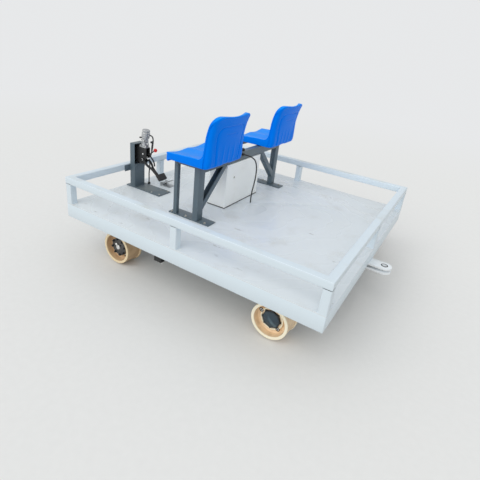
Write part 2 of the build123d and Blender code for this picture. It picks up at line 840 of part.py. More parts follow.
feed_port = Pos(0, 0, feed_port_height) * feed_port
save("fluid_reservoir", cylinder_place * (reservoir + feed_port))

# Accelerator: a base with two ears, and a tilted treadle whose barrel turns on the pin between them
accelerator_place = Pos(column_back + accelerator_reach, column_y + accelerator_offset, deck_top)
heel_x = -accelerator_length / 2 + ear_length / 2
heel_z = accelerator_base + ear_height / 2
base = block(mid(0, accelerator_length), mid(0, accelerator_width), (0, accelerator_base))
for side in (-1, 1):
    ear_y = side * (accelerator_width - ear_thickness) / 2
    base += block(mid(heel_x, ear_length), mid(ear_y, ear_thickness), (0, accelerator_base + ear_height))
base -= Pos(heel_x, 0, heel_z) * round_bar(treadle_pin + running_gap, 2 * accelerator_width)
save("accelerator_base", accelerator_place * base)
treadle_width = accelerator_width - 2 * ear_thickness - 2 * running_gap
treadle = block(span(0, treadle_length), mid(0, treadle_width), mid(0, treadle_thickness))
treadle += round_bar(treadle_thickness, treadle_width) + round_bar(treadle_pin, accelerator_width)
treadle = Pos(heel_x, 0, heel_z) * Rot(0, -treadle_tilt, 0) * treadle
save("accelerator_treadle", accelerator_place * treadle)


# Cables and hoses: straight runs joined by arcs as large as the runs allow
def cord(points, radius):
    """A round tube along a route, with the largest tangent arc that each corner's runs allow."""
    route = [Vector(*point) for point in points]
    radii = []
    for before, corner, after in zip(route, route[1:], route[2:]):
        run = min((corner - before).length, (after - corner).length)
        half_turn = radians((corner - before).get_angle(after - corner) / 2)
        radii.append(0.45 * run / tan(half_turn))
    path = FilletPolyline(*route, radius=radii)
    tube = sweep(Plane(origin=path @ 0, z_dir=path % 0) * Circle(radius), path)
    expected = pi * radius**2 * path.length
    print("cord radii", [round(size) for size in radii], "length", round(path.length, 1))
    print("cord volume against section times length", round(tube.volume / expected, 4))
    return tube


cable_z = bench_level - cable_drop
cable_start = rear_limits[1] + gland_height
gland = Pos(cable_start - gland_height / 2, cable_y, cable_z) * Rot(0, 90, 0)
save("cable_gland", gland * Cylinder(gland_radius, gland_height))
# columns: X, Y and Z from the mouth of the gland
CABLE_RUN = [
    (0, 0, 0),
    (27, 0, 0),
    (52, 6, -4),
    (70, 22, -13),
    (79, 46, -28),
    (81, 74, -53),
    (79, 100, -90),
    (76, 117, -138),
    (72, 122, -193),
    (69, 115, -249),
    (67, 96, -302),
]
cable_route = [(cable_start + x, cable_y + y, cable_z + z) for x, y, z in CABLE_RUN]
cable_route += [(cable_hole_x, cable_hole_y, z) for z in (deck_top + cable_straight, plate_bottom)]
save("cable", cord(cable_route, cable_radius))

hose_foot = (column_back + hose_foot_reach, column_y + hose_foot_offset)
save("hose_fitting", Pos(*hose_foot, deck_top + gland_height / 2) * Cylinder(gland_radius, gland_height))
# columns: X, Y and Z from the hose's end on the fitting
BRAKE_RUN = [
    (17, -81, 231),
    (17, -51, 231),
    (16, -25, 219),
    (13, -8, 193),
    (8, -1, 157),
    (2, 1, 117),
    (-2, 0, 77),
    (0, 0, 39),
    (0, 0, 0),
]
hose_z = deck_top + gland_height
brake_route = [(hose_foot[0] + x, hose_foot[1] + y, hose_z + z) for x, y, z in BRAKE_RUN]
save("brake_hose", cord(brake_route, hose_radius))
# columns: X and Z from the mouth of the reservoir's feed port
FEED_RUN = [
    (0, 0),
    (23.8, -3.3),
    (45, -15.8),
    (59, -38.8),
    (62, -68.8),
    (56, -99.8),
    (42, -127.8),
    (19, -147.8),
    (-13.2, -154.8),
]
port_mouth = (cylinder_place * Pos(feed_port_reach, 0, feed_port_height)).position
feed_route = [(port_mouth.X + x, column_y, port_mouth.Z + z) for x, z in FEED_RUN]
save("feed_hose", cord(feed_route, hose_radius))
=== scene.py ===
# %% [markdown]
# # A two-seat rail inspection trolley
#
# The trolley's solids are packed already: the deck, the wheels, the bench and the pedals, all in their
# true places. This script dresses them. It sets a camera, light and a floor, mixes the paints, metals
# and plastics, and then adds what solids leave out: rounded tube corners, weld beads, bolt heads,
# the moulded seats and the cables.

# %% Load the packed solids
from bisect import bisect_right
from math import cos, exp, hypot, pi, radians, sin, sqrt, tan

import bmesh
import bpy
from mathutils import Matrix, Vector


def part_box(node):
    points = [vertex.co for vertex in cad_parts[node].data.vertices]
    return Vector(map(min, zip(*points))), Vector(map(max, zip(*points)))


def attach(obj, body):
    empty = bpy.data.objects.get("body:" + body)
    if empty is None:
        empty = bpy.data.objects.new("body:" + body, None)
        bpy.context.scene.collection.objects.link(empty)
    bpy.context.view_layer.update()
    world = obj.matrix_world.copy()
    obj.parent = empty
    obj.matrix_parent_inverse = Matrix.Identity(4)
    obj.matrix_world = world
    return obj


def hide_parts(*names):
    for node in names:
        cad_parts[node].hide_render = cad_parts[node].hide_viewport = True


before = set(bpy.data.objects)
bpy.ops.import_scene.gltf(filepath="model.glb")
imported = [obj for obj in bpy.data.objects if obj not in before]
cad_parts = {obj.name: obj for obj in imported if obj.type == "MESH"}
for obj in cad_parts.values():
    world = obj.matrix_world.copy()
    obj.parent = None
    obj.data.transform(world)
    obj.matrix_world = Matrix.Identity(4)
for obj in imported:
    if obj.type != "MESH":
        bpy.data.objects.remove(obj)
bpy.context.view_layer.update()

# %% [markdown]
# ## The viewpoint
#
# The trolley was looked at from its near corner, from just above the height of a standing person's
# eyes. A camera needs a place, a direction and a focal length. The direction could be aimed at a point,
# but a real camera is also held a little askew, so its three turns are written out.

# %% The camera
eye = Vector((1.2745, -2.540, 1.633))
eye_turns = [radians(turn) for turn in (65.918, -5.947, 32.133)]
lens = bpy.data.cameras.new("eye")
lens.lens = 28.96
lens.shift_y = -0.0552
camera = bpy.data.objects.new("eye", lens)
camera.location = eye
camera.rotation_euler = eye_turns
bpy.context.scene.collection.objects.link(camera)
bpy.context.scene.camera = camera
print("camera at", tuple(eye), "lens", lens.lens, "mm")

# %% [markdown]
# ## Daylight under a bright sky
#
# The trolley stands outdoors under high cloud: light comes from the whole sky, a little more from one
# side, and the shadow below the deck is soft. An even world gives the sky, and one sun lamp with a very
# wide disc gives the brighter part of it. Both together make a white sheet of paper just white.

# %% Sky and sun
sky = bpy.data.worlds.new("sky")
sky.use_nodes = True
sky_light = sky.node_tree.nodes["Background"]
sky_light.inputs["Color"].default_value = (0.965, 0.985, 1.0, 1)
sky_light.inputs["Strength"].default_value = 0.75
bpy.context.scene.world = sky

sun_data = bpy.data.lights.new("bright_cloud", "SUN")
sun_data.energy = 1.25
sun_data.angle = radians(60)
sun_data.color = (1.0, 0.985, 0.955)
sun = bpy.data.objects.new("bright_cloud", sun_data)
sun.rotation_euler = Vector((-0.10, -0.74, 0.66)).to_track_quat("Z", "Y").to_euler()
bpy.context.scene.collection.objects.link(sun)
bpy.context.scene.view_settings.view_transform = "Standard"
print("sky", sky_light.inputs["Strength"].default_value, "sun", sun_data.energy)

# %% [markdown]
# ## Arithmetic for paint
#
# A finish is a sum: so much paint, so much dust, a bit less gloss where hands and boots have been. In
# Blender each step is a node. Wiring nodes by hand hides the sum, so a small class holds the end of a
# wire and understands plus, minus and times, and one method makes every other kind of node.


# %% A wire that can be added and multiplied
class Wire:
    """The end of a wire: one output of a node, with arithmetic."""

    def __init__(self, coat, socket):
        self.coat = coat
        self.socket = socket

    def maths(self, operation, *terms):
        """A Math node on these terms."""
        return self.coat.node("Math", {"operation": operation}, dict(enumerate(terms)))

    def __add__(self, other):
        return self.maths("ADD", self, other)

    def __sub__(self, other):
        return self.maths("SUBTRACT", self, other)

    def __rsub__(self, other):
        return self.maths("SUBTRACT", other, self)

    def __mul__(self, other):
        return self.maths("MULTIPLY", self, other)

    __radd__ = __add__
    __rmul__ = __mul__

    def size(self):
        """The value without its sign."""
        return self.maths("ABSOLUTE", self)

    def root(self):
        """The square root."""
        return self.maths("SQRT", self)

    def held(self):
        """The same value, kept between 0 and 1."""
        return self.coat.node("Clamp", {}, {0: self})

    def between(self, low, high):
        """0 below low, 1 above high, and a soft step from one to the other."""
        settings = {"interpolation_type": "SMOOTHSTEP"}
        return self.coat.node("MapRange", settings, {0: self, 1: low, 2: high})

    def below(self, low, high):
        """1 below low and 0 above high."""
        return 1 - self.between(low, high)


print("a wire understands", [name for name in vars(Wire) if not name.startswith("_")])


# %% Colours
def shade(red, green, blue):
    """A colour as it is read off a screen, turned into amounts of light."""
    return tuple((part / 255) ** 2.2 for part in (red, green, blue)) + (1,)


print("middle grey is", round(shade(128, 128, 128)[0], 3), "of white")


# %% A coat: one material and its nodes
class Coat:
    """One finish. Its method node makes any node, and the others are short names for common ones."""

    def __init__(self, name):
        self.material = bpy.data.materials.new(name)
        self.material.use_nodes = True
        self.tree = self.material.node_tree
        self.tree.nodes.clear()
        self.place = self.node("TexCoord", {}, {}, "Object")

    def node(self, kind, settings, inputs, output=0):
        made = self.tree.nodes.new("ShaderNode" + kind)
        for name, value in settings.items():
            setattr(made, name, value)
        for name, value in inputs.items():
            if isinstance(value, Wire):
                self.tree.links.new(value.socket, made.inputs[name])
            else:
                made.inputs[name].default_value = value
        return Wire(self, made.outputs[output])

    def mix(self, amount, first, second):
        """A colour that goes from the first to the second as amount goes from 0 to 1."""
        return self.node("Mix", {"data_type": "RGBA"}, {0: amount, 6: first, 7: second}, 2)

    def stretched(self, across):
        """The object's own coordinates, multiplied along each axis."""
        return self.node("VectorMath", {"operation": "MULTIPLY"}, {0: self.place, 1: across})

    def cloud(self, scale, detail=3.0, across=(1, 1, 1), rough=0.5):
        """Soft random patches, from 0 to 1."""
        place = self.stretched(across) if across != (1, 1, 1) else self.place
        inputs = {"Vector": place, "Scale": scale, "Detail": detail, "Roughness": rough}
        return self.node("TexNoise", {}, inputs)

    def facing_up(self):
        """1 on a level top, 0 on a wall, -1 below."""
        normal = self.node("NewGeometry", {}, {}, "Normal")
        return self.node("VectorMath", {"operation": "DOT_PRODUCT"}, {0: normal, 1: (0, 0, 1)}, "Value")

    def worn_edge(self, radius):
        """1 along edges and corners, 0 on flats."""
        rounded = self.node("Bevel", {"samples": 4}, {"Radius": radius})
        normal = self.node("NewGeometry", {}, {}, "Normal")
        alike = self.node("VectorMath", {"operation": "DOT_PRODUCT"}, {0: rounded, 1: normal}, "Value")
        return (1 - alike).between(0.02, 0.25)

    def bumps(self, height, strength, distance):
        """A normal that leans as if the surface had this height, in metres."""
        return self.node("Bump", {}, {"Strength": strength, "Distance": distance, "Height": height})

    def ends_in(self, shader):
        """Give the material its surface."""
        end = self.tree.nodes.new("ShaderNodeOutputMaterial")
        self.tree.links.new(shader.socket, end.inputs["Surface"])
        return self.material

    def finish(self, **sockets):
        """The last shader, with the sockets that are given."""
        named = {name.replace("_", " "): value for name, value in sockets.items()}
        return self.ends_in(self.node("BsdfPrincipled", {}, named))


print("a coat has", [name for name in vars(Coat) if not name.startswith("_")])

# %% [markdown]
# ## The floor
#
# The floor is a plain pale sheet. It has to be pale to the eye without throwing light up under the
# deck, so what the camera sees and what the light meets are two colours, told apart by the Light Path
# node. Far off it fades into the same tone as the backdrop, and no edge shows.

# %% A pale floor that fades out
far_tone = (0.80, 0.81, 0.82, 1)
fade_start, fade_end = 3.5, 9.0
floor_coat = Coat("pale_floor")
seen = floor_coat.node("LightPath", {}, {}, "Is Camera Ray")
mirrored = floor_coat.node("LightPath", {}, {}, "Is Glossy Ray")
speckle = floor_coat.cloud(26.0, 5.0) * 0.05 + 0.97
plain = floor_coat.mix((seen + mirrored).held(), (0.62, 0.60, 0.56, 1), (0.80, 0.80, 0.79, 1))
multiply = {"data_type": "RGBA", "blend_type": "MULTIPLY"}
tone = floor_coat.node("Mix", multiply, {0: 1.0, 6: plain, 7: speckle}, 2)
matt = floor_coat.node("BsdfDiffuse", {}, {"Color": tone})
glow = floor_coat.node("Emission", {}, {"Color": far_tone, "Strength": 1.0})
distance = floor_coat.node("VectorMath", {"operation": "LENGTH"}, {0: floor_coat.place}, "Value")
faded = distance.between(fade_start, fade_end)
floor_coat.ends_in(floor_coat.node("MixShader", {}, {0: faded, 1: matt, 2: glow}))

floor_half = 40.0
corners = [(-floor_half, -floor_half, 0), (floor_half, -floor_half, 0), (floor_half, floor_half, 0),
           (-floor_half, floor_half, 0)]
floor_mesh = bpy.data.meshes.new("floor")
floor_mesh.from_pydata(corners, [], [(0, 1, 2, 3)])
floor_mesh.materials.append(floor_coat.material)
floor = bpy.data.objects.new("floor", floor_mesh)
bpy.context.scene.collection.objects.link(floor)
print("floor laid,", 2 * floor_half, "m square")

# %% The backdrop's tone, which only the camera sees
tree = sky.node_tree
backdrop = tree.nodes.new("ShaderNodeBackground")
backdrop.inputs["Color"].default_value = far_tone
path = tree.nodes.new("ShaderNodeLightPath")
choice = tree.nodes.new("ShaderNodeMixShader")
tree.links.new(path.outputs["Is Camera Ray"], choice.inputs[0])
tree.links.new(sky_light.outputs[0], choice.inputs[1])
tree.links.new(backdrop.outputs[0], choice.inputs[2])
tree.links.new(choice.outputs[0], tree.nodes["World Output"].inputs["Surface"])
print("backdrop", far_tone[:3])

# %% [markdown]
# ## Enamel on steel
#
# The deck, the rails and the frame are sprayed with one pale blue-white enamel. Sprayed enamel isn't
# flat: it dries with a fine ripple, drifts a little in tone from pass to pass, and gathers dust where
# it lies level. Boots polish some places and dull others. The tone, the gloss and the ripple are each
# driven by clouds of their own size.


# %% One recipe for every sprayed steel
def enamel(name, body, dust, gloss, drift=0.04, wear=0.0, bare=(0.45, 0.44, 0.42, 1), ripple=0.25):
    """Sprayed enamel: its colour, its dust, how rough it is, and how much is worn off at edges."""
    coat = Coat(name)
    passes = coat.cloud(1.6, 2.0) - 0.5
    blotch = coat.cloud(9.0, 4.0) - 0.5
    level = coat.facing_up().between(0.6, 0.95)
    settled = (coat.cloud(5.0, 5.0).between(0.45, 0.75) * level * 0.6 + blotch * drift + passes * drift).held()
    colour = coat.mix(settled, body, dust)
    if wear:
        rubbed = coat.worn_edge(0.0035) * coat.cloud(40.0, 4.0).between(0.48, 0.62) * wear
        colour = coat.mix(rubbed, colour, bare)
    peel = coat.cloud(330.0, 2.0) + coat.cloud(60.0, 2.0) * 0.6
    rough = (blotch * 0.16 + settled * 0.18 + gloss).held()
    return coat.finish(Base_Color=colour, Roughness=rough, Normal=coat.bumps(peel, ripple, 0.0006),
                       IOR=1.5)


paints = {
    "frame_paint": enamel("frame_enamel", shade(213, 226, 235), shade(196, 198, 192), 0.34, wear=0.25),
    "bench_paint": enamel("bench_enamel", shade(88, 102, 111), shade(128, 132, 130), 0.36, wear=0.5,
                          bare=(0.30, 0.31, 0.32, 1)),
    "coupling_paint": enamel("coupling_enamel", shade(236, 241, 245), shade(214, 214, 208), 0.32, wear=0.2),
    "drive_paint": enamel("drive_enamel", shade(74, 80, 84), shade(110, 106, 98), 0.42, wear=0.4),
}
print("enamels:", ", ".join(paints))

# %% [markdown]
# ## The deck's enamel
#
# The deck carries the same paint, but it's walked on. It was wiped down too, and the cloth left broad
# arcs of more and less shine, with a few scuffs. The arcs come from a wave whose rings are bent by
# noise, and they only change the gloss. The scuffs are thin dark marks from stretched noise.

# %% Deck enamel with wipe marks and scuffs
deck = Coat("deck_enamel")
swirl = deck.node("TexWave", {"wave_type": "RINGS", "rings_direction": "Z"},
                  {"Vector": deck.place, "Scale": 1.1, "Distortion": 9.0, "Detail": 3.0, "Detail Scale": 1.4})
patches = deck.cloud(2.2, 4.0)
scuffs = deck.cloud(7.0, 7.0, (1, 3.2, 1), 0.62).between(0.62, 0.70) * deck.cloud(1.9, 2.0).between(0.50, 0.62)
dirt = deck.cloud(4.5, 6.0, rough=0.62).between(0.50, 0.78)
clean = deck.mix(patches, shade(214, 221, 224), shade(224, 231, 236))
dusty = deck.mix(dirt * 0.42, clean, shade(186, 184, 176))
marked = deck.mix(scuffs * 0.5, dusty, shade(118, 112, 102))
deck_gloss = (swirl.between(0.1, 0.9) * 0.16 + dirt * 0.16 + 0.22).held()
deck_ripple = deck.cloud(240.0, 2.0) + deck.cloud(11.0, 2.0) * 6.0
paints["deck_paint"] = deck.finish(Base_Color=marked, Roughness=deck_gloss, IOR=1.5,
                                   Normal=deck.bumps(deck_ripple, 0.22, 0.0008))
print("deck enamel ready")

# %% [markdown]
# ## Powder coat and wheel paint
#
# The box is powder coated: whiter, with a finer and more even skin than sprayed enamel. The wheels are
# brushed with thick cream paint over a casting. Its recesses are painted browner as shade, with patches of
# road dirt, the front pair is painted darker as shade, and the rim's face and edges are painted paler as light.

# %% White powder coat
powder = Coat("box_powder")
speck = powder.cloud(420.0, 2.0)
streak = powder.cloud(3.0, 4.0, (6, 6, 0.6))
smudge = powder.cloud(6.0, 5.0).between(0.55, 0.8)
white = powder.mix(streak * 0.35, shade(249, 251, 250), shade(240, 245, 245))
paints["box_paint"] = powder.finish(
    Base_Color=powder.mix(smudge * 0.25, white, shade(196, 192, 182)),
    Roughness=(smudge * 0.15 + 0.38).held(),
    Normal=powder.bumps(speck, 0.3, 0.0005),
)
print("powder coat ready")

# %% Measures read off the solids, in millimetres from the deck's middle
deck_low, deck_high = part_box("deck_plate")
shift_x = round(500 * (deck_low[0] + deck_high[0]), 1)


def edges(node):
    """A solid's lowest and highest corner."""
    return [(round(1000 * x - shift_x, 1), round(1000 * y, 1), round(1000 * z, 1)) for x, y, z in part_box(node)]


def middle(node):
    """The middle of a solid's box."""
    return [(low + high) / 2 for low, high in zip(*edges(node))]


wheel_face = edges("wheel_front_far")[1][1]
axle_height = middle("wheel_front_far")[2]
wheelsets = {end: middle(f"wheel_{end}_far")[0] for end in ("front", "rear")}
print("axles at", wheelsets, "height", axle_height, "and wheel faces at", wheel_face)

# %% Cream wheel paint, with painted light on the rim's face and painted shade in the recess and on the front pair
cream = Coat("wheel_cream")
across, along, up = [cream.node("SeparateXYZ", {}, {0: cream.place}, output) for output in "XYZ"]
from_deck_middle = across - shift_x / 1000
# The front pair's darker cream is painted shade: the front wheels stand in shadow.
lit_rear_pair = from_deck_middle.between(-0.1, 0.1)
from_axle_x = from_deck_middle.size() - wheelsets["rear"] / 1000
from_axle_z = up - axle_height / 1000
from_axle = (from_axle_x * from_axle_x + from_axle_z * from_axle_z).root()
depth = wheel_face / 1000 - along.size()
# The rim's face, the rear collar's face and the flange's edge take the paler cream as painted light.
lit_rim_face = depth.below(0.002, 0.009)
lit_collar = from_axle.between(0.0655, 0.0675) * from_axle.below(0.0765, 0.080) * lit_rear_pair
lit_collar = lit_collar * depth.below(0.040, 0.046)
flange_edge_highlight = from_axle.between(0.1255, 0.1285)
grime = cream.cloud(22.0, 6.0, rough=0.62).between(0.42, 0.70)
run = cream.cloud(7.0, 3.0)
# The paler cream is painted light and the browner one painted shade; both are darker on the front pair as
# painted shade.
pale = cream.mix(lit_rear_pair, shade(240, 220, 182), shade(255, 247, 222))
shaded_grimy_cream = cream.mix(lit_rear_pair, shade(214, 182, 144), shade(248, 222, 186))
# Grime and runs are real dirt, laid over the painted shade.
shaded_grimy_cream = cream.mix(grime * 0.35, cream.mix(run * 0.4, shaded_grimy_cream, shade(214, 184, 146)), shade(170, 134, 98))
lit_and_shaded_cream = cream.mix((lit_rim_face + flange_edge_highlight * 0.8 + lit_collar).held(), shaded_grimy_cream, pale)
paints["wheel_paint"] = cream.finish(
    # The edges are painted paler as a highlight.
    Base_Color=cream.mix(cream.worn_edge(0.004) * 0.35, lit_and_shaded_cream, pale),
    Roughness=(grime * 0.2 + 0.36).held(),
    Normal=cream.bumps(cream.cloud(150.0, 3.0) + run, 0.35, 0.0010),
)
print("wheel paint ready")

# %% [markdown]
# ## Bare and blackened metal
#
# Bare steel is a mirror broken up by tool marks and a thin film of oil and rust. One recipe serves all
# of the bare metals: how light, how rough, how much rust, and how coarse the casting.


# %% One recipe for bare metal
def bare_metal(name, light, dark, rough, rust=0.0, grain=180.0, depth=0.0005, metallic=1.0):
    """Metal without paint: two tones that drift, a stain, and the marks of the tool or the mould."""
    coat = Coat(name)
    drift = coat.cloud(14.0, 4.0)
    marks = coat.cloud(grain, 3.0)
    stain = coat.cloud(31.0, 6.0, rough=0.65).between(0.52, 0.72) * rust
    colour = coat.mix(stain, coat.mix(drift, light, dark), shade(112, 74, 48))
    return coat.finish(
        Base_Color=colour,
        Metallic=(metallic - stain * 0.8).held(),
        Roughness=(drift * 0.14 + marks * 0.12 + stain * 0.3 + rough).held(),
        Normal=coat.bumps(marks, 0.35, depth),
    )


paints["axle_steel"] = bare_metal("turned_steel", (0.62, 0.62, 0.61, 1), (0.44, 0.44, 0.43, 1), 0.20, 0.25)
paints["hub_steel"] = bare_metal("oiled_steel", (0.17, 0.17, 0.168, 1), (0.085, 0.085, 0.084, 1), 0.34, 0.10)
paints["disc_iron"] = bare_metal("disc_iron", (0.46, 0.45, 0.44, 1), (0.26, 0.24, 0.23, 1), 0.34, 0.6, 260.0)
paints["fitting_steel"] = bare_metal("plated_steel", (0.60, 0.59, 0.55, 1), (0.42, 0.42, 0.40, 1), 0.28, 0.15)
paints["cast_aluminium"] = bare_metal("cast_aluminium", (0.62, 0.63, 0.64, 1), (0.42, 0.43, 0.44, 1), 0.38,
                                      0.06, 130.0, 0.0012)
paints["black_metal"] = bare_metal("blackened_steel", (0.035, 0.036, 0.038, 1), (0.018, 0.019, 0.020, 1), 0.34,
                                   0.1, metallic=0.35)
paints["bright_steel"] = bare_metal("polished_steel", (0.93, 0.93, 0.92, 1), (0.80, 0.80, 0.79, 1), 0.18, 0.04,
                                    metallic=0.65)
print("metals ready")

# %% [markdown]
# ## The hub caps' enamel
#
# Each rear hub has a cast cap in slate enamel. The cap is nearly black towards its rim, and one pale
# streak crosses it aslant through the middle: a painted reflection. Both are sums on the distance from the
# axle, so no picture has to be painted.

# %% The rear hub caps, nearly black at the rim, with one painted reflection streak
cap = Coat("hub_cap_enamel")
cap_x, cap_z = [cap.node("SeparateXYZ", {}, {0: cap.place}, output) for output in ("X", "Z")]
right, high = cap_x - (wheelsets["rear"] + shift_x) / 1000, cap_z - axle_height / 1000
off_centre = (right * right + high * high).root()
# A pale streak aslant through the middle of each cap: a painted reflection on the dome.
slanted = right + high + cap.cloud(30.0, 2.0) * 0.012 - 0.004
reflection_streak = slanted.size().below(0.006, 0.020) * cap.cloud(16.0, 4.0).between(0.30, 0.60)
slate = cap.mix(cap.cloud(24.0, 4.0), shade(58, 78, 90), shade(44, 56, 66))
slate = cap.mix(reflection_streak * 0.7, slate, shade(98, 120, 130))
paints["cap_paint"] = cap.finish(
    Base_Color=cap.mix(off_centre.between(0.045, 0.060), slate, shade(24, 27, 30)),
    Roughness=(cap.cloud(40.0, 3.0) * 0.15 + 0.30).held(),
    Normal=cap.bumps(cap.cloud(220.0, 3.0), 0.3, 0.0006),
)
print("cap paint ready")

# %% [markdown]
# ## Moulded plastic and rubber
#
# The seats are glossy polypropylene from a polished mould with a very fine leather grain. Plastic is
# coloured all through, so it shows scratches as paler haze rather than as another colour. Rubber and
# the small black mouldings are the same idea with less shine.


# %% One recipe for mouldings
def moulding(name, body, haze, gloss, grain=900.0, depth=0.00022, strength=0.3, lit_from_above=None, **fixed):
    """Plastic or rubber: body colour, the haze of fine scratches, and the grain of the mould."""
    coat = Coat(name)
    handled = coat.cloud(6.0, 5.0, rough=0.6)
    hair = coat.cloud(60.0, 4.0, (1, 5, 1)).between(0.62, 0.72)
    colour = coat.mix((handled * 0.5 + hair * 0.25).held(), body, haze)
    # Faces that look up are painted lighter: painted light from above.
    if lit_from_above:
        colour = coat.mix(coat.facing_up().between(0.3, 1.0) * 0.8, colour, lit_from_above)
    skin = coat.cloud(grain, 2.0)
    return coat.finish(
        Base_Color=colour,
        Roughness=(handled * 0.12 + hair * 0.10 + gloss).held(),
        Normal=coat.bumps(skin, strength, depth),
        **fixed,
    )


# The seat's blue is painted lighter on its upward faces, as painted light.
paints["seat_plastic"] = moulding("seat_blue", shade(0, 118, 240), shade(0, 128, 246), 0.36,
                                  lit_from_above=shade(20, 148, 250), Specular_IOR_Level=0.13,
                                  Specular_Tint=(0.10, 0.50, 1.0, 1.0))
paints["black_rubber"] = moulding("black_rubber", shade(30, 30, 32), shade(62, 60, 58), 0.52, 420.0, 0.0006)
paints["black_plastic"] = moulding("black_plastic", shade(26, 27, 29), shade(48, 48, 48), 0.40, 500.0, 0.0004)
paints["red_plastic"] = moulding("knob_red", shade(212, 34, 38), shade(228, 70, 66), 0.22, 300.0, 0.0002)
print("mouldings ready")

# %% [markdown]
# ## Dress the solids
#
# Each packed solid names the slot of finish that it takes. Its own material gives way to the finish
# mixed above, and nothing else about it changes.

# %% Every node takes the finish of its slot, but for a few
# The coupling's spacer takes the dark bench enamel: painted shade for the shadowed gap between the plates.
others = {"coupling_plate_upper": "coupling_paint", "coupling_plate_lower": "coupling_paint",
          "coupling_spacer": "bench_paint", "accelerator_treadle": "cast_aluminium"}
finish_of = {}
for name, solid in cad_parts.items():
    for slot in solid.material_slots:
        finish_of[name] = others.get(name, slot.material.name.split(".")[0])
        slot.material = paints[finish_of[name]]
print("dressed", len(finish_of), "solids")

# %% [markdown]
# ## Making a piece
#
# Every added piece is a mesh made from lists of points and faces. It hangs on the body it moves with,
# takes its finish, and, where it stands for a packed solid, hides that solid. Lengths below are in
# millimetres, counted from the middle of the deck, because that is how the trolley was drawn.


# %% A place, and a softened edge
def spot(x, y, z):
    """A point given in millimetres from the deck's middle, in the frame's metres."""
    return Vector(((x + shift_x) / 1000, y / 1000, z / 1000))


def soften(work, width):
    """Bevel the sharp edges by a width in millimetres."""
    sharp = [edge for edge in work.edges if len(edge.link_faces) == 2 and edge.calc_face_angle() > radians(35)]
    bmesh.ops.bevel(work, geom=sharp, offset=width / 1000, segments=3, profile=0.5, affect="EDGES",
                    clamp_overlap=True)


print("the deck's middle is at", tuple(spot(0, 0, 0)))


def settle(name, mesh, slot, body="chassis", replaces=(), smooth=None, edge=0.0):
    """Clean a mesh, make an object of it, hang it on the body it rides on, and hide the solids it stands for.

    Faces blend where they meet below the angle smooth, in degrees, and edge is the bevel in millimetres.
    """
    work = bmesh.new()
    work.from_mesh(mesh)
    bmesh.ops.remove_doubles(work, verts=work.verts, dist=0.00002)
    bmesh.ops.dissolve_degenerate(work, edges=work.edges, dist=0.00001)
    if edge:
        bmesh.ops.dissolve_limit(work, angle_limit=radians(1), verts=work.verts, edges=work.edges)
        soften(work, edge)
    bmesh.ops.recalc_face_normals(work, faces=work.faces)
    work.to_mesh(mesh)
    work.free()
    if smooth is not None:
        mesh.shade_smooth()
        mesh.set_sharp_from_angle(angle=radians(smooth))
    mesh.materials.clear()
    mesh.materials.append(paints[slot])
    made = bpy.data.objects.new(name, mesh)
    bpy.context.scene.collection.objects.link(made)
    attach(made, body)
    if replaces:
        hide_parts(*replaces)
    print(name, len(mesh.polygons), "faces on", body)


def piece(name, points, faces, slot, **settings):
    """A mesh object from points in metres."""
    mesh = bpy.data.meshes.new(name)
    mesh.from_pydata(points, [], faces)
    settle(name, mesh, slot, **settings)


# %% [markdown]
# ## Rings, outlines and smooth tables
#
# Most parts here are rings of points with faces between them: a wheel is a profile turned round its
# axle, a tube is a rounded square carried along, a bolt head is a turned profile with six sides. So one
# class gathers points and faces, and its methods are named for how the real part is made: turned,
# lofted, cut from plate, bent from bar.


# %% Even steps, and smooth lines through a few values
def steps(first, last, count):
    """Count even steps from first to last, without the last."""
    return [first + (last - first) * index / count for index in range(count)]


def through(table, place):
    """The value at a place on a smooth curve through rows of (place, value)."""
    places = [row[0] for row in table]
    values = [row[1] for row in table]
    place = min(max(place, places[0]), places[-1])
    index = min(bisect_right(places, place), len(places) - 1) - 1
    run = places[index + 1] - places[index]
    share = (place - places[index]) / run

    def slope(at):
        first, last = max(at - 1, 0), min(at + 1, len(places) - 1)
        before = (values[at] - values[first]) / max(places[at] - places[first], 1e-9)
        after = (values[last] - values[at]) / max(places[last] - places[at], 1e-9)
        if first == at or last == at:
            return before + after
        return (before + after) / 2 if before * after > 0 else 0.0

    rise = values[index + 1] - values[index]
    start_slope, end_slope = slope(index) * run, slope(index + 1) * run
    return (values[index] + share * start_slope + share ** 2 * (3 * rise - 2 * start_slope - end_slope)
            + share ** 3 * (start_slope + end_slope - 2 * rise))


def flowing(corners, count):
    """Points on a smooth line through a few given ones."""
    tables = [[(index, corner[axis]) for index, corner in enumerate(corners)] for axis in range(3)]
    last = len(corners) - 1
    return [Vector([through(table, place) for table in tables]) for place in steps(0, last, count) + [last]]


print("halfway through a rise:", through([(0, 0), (1, 1), (2, 1)], 0.5))


# %% Outlines: rounded corners, rectangles and circles
def rounded(corners, count=6):
    """A closed outline from rows of (across, up, radius), with an arc at each corner that has a radius."""
    points = []
    for index, (across, up, radius) in enumerate(corners):
        corner = Vector((across, up))
        if not radius:
            points.append(tuple(corner))
            continue
        before = (Vector(corners[index - 1][:2]) - corner).normalized()
        after = (Vector(corners[(index + 1) % len(corners)][:2]) - corner).normalized()
        half = before.angle(after) / 2
        middle = corner + (before + after).normalized() * radius / sin(half)
        first = corner + before * radius / tan(half) - middle
        last = corner + after * radius / tan(half) - middle
        spread = first.angle(last)
        for share in steps(0, 1, count) + [1]:
            arc = first * sin((1 - share) * spread) + last * sin(share * spread)
            points.append(tuple(middle + arc / sin(spread)))
    return points


def rectangle(low_x, low_y, high_x, high_y, radius, count=6):
    """An outline between two corners, with an arc at each of its four."""
    return rounded([(low_x, low_y, radius), (high_x, low_y, radius), (high_x, high_y, radius),
                    (low_x, high_y, radius)], count)


def circle(radius, sides=16):
    """A round outline."""
    return [(radius * cos(turn), radius * sin(turn)) for turn in steps(0, 2 * pi, sides)]


print("a rounded rectangle has", len(rectangle(0, 0, 2, 1, 0.1)), "points and a circle", len(circle(1)))


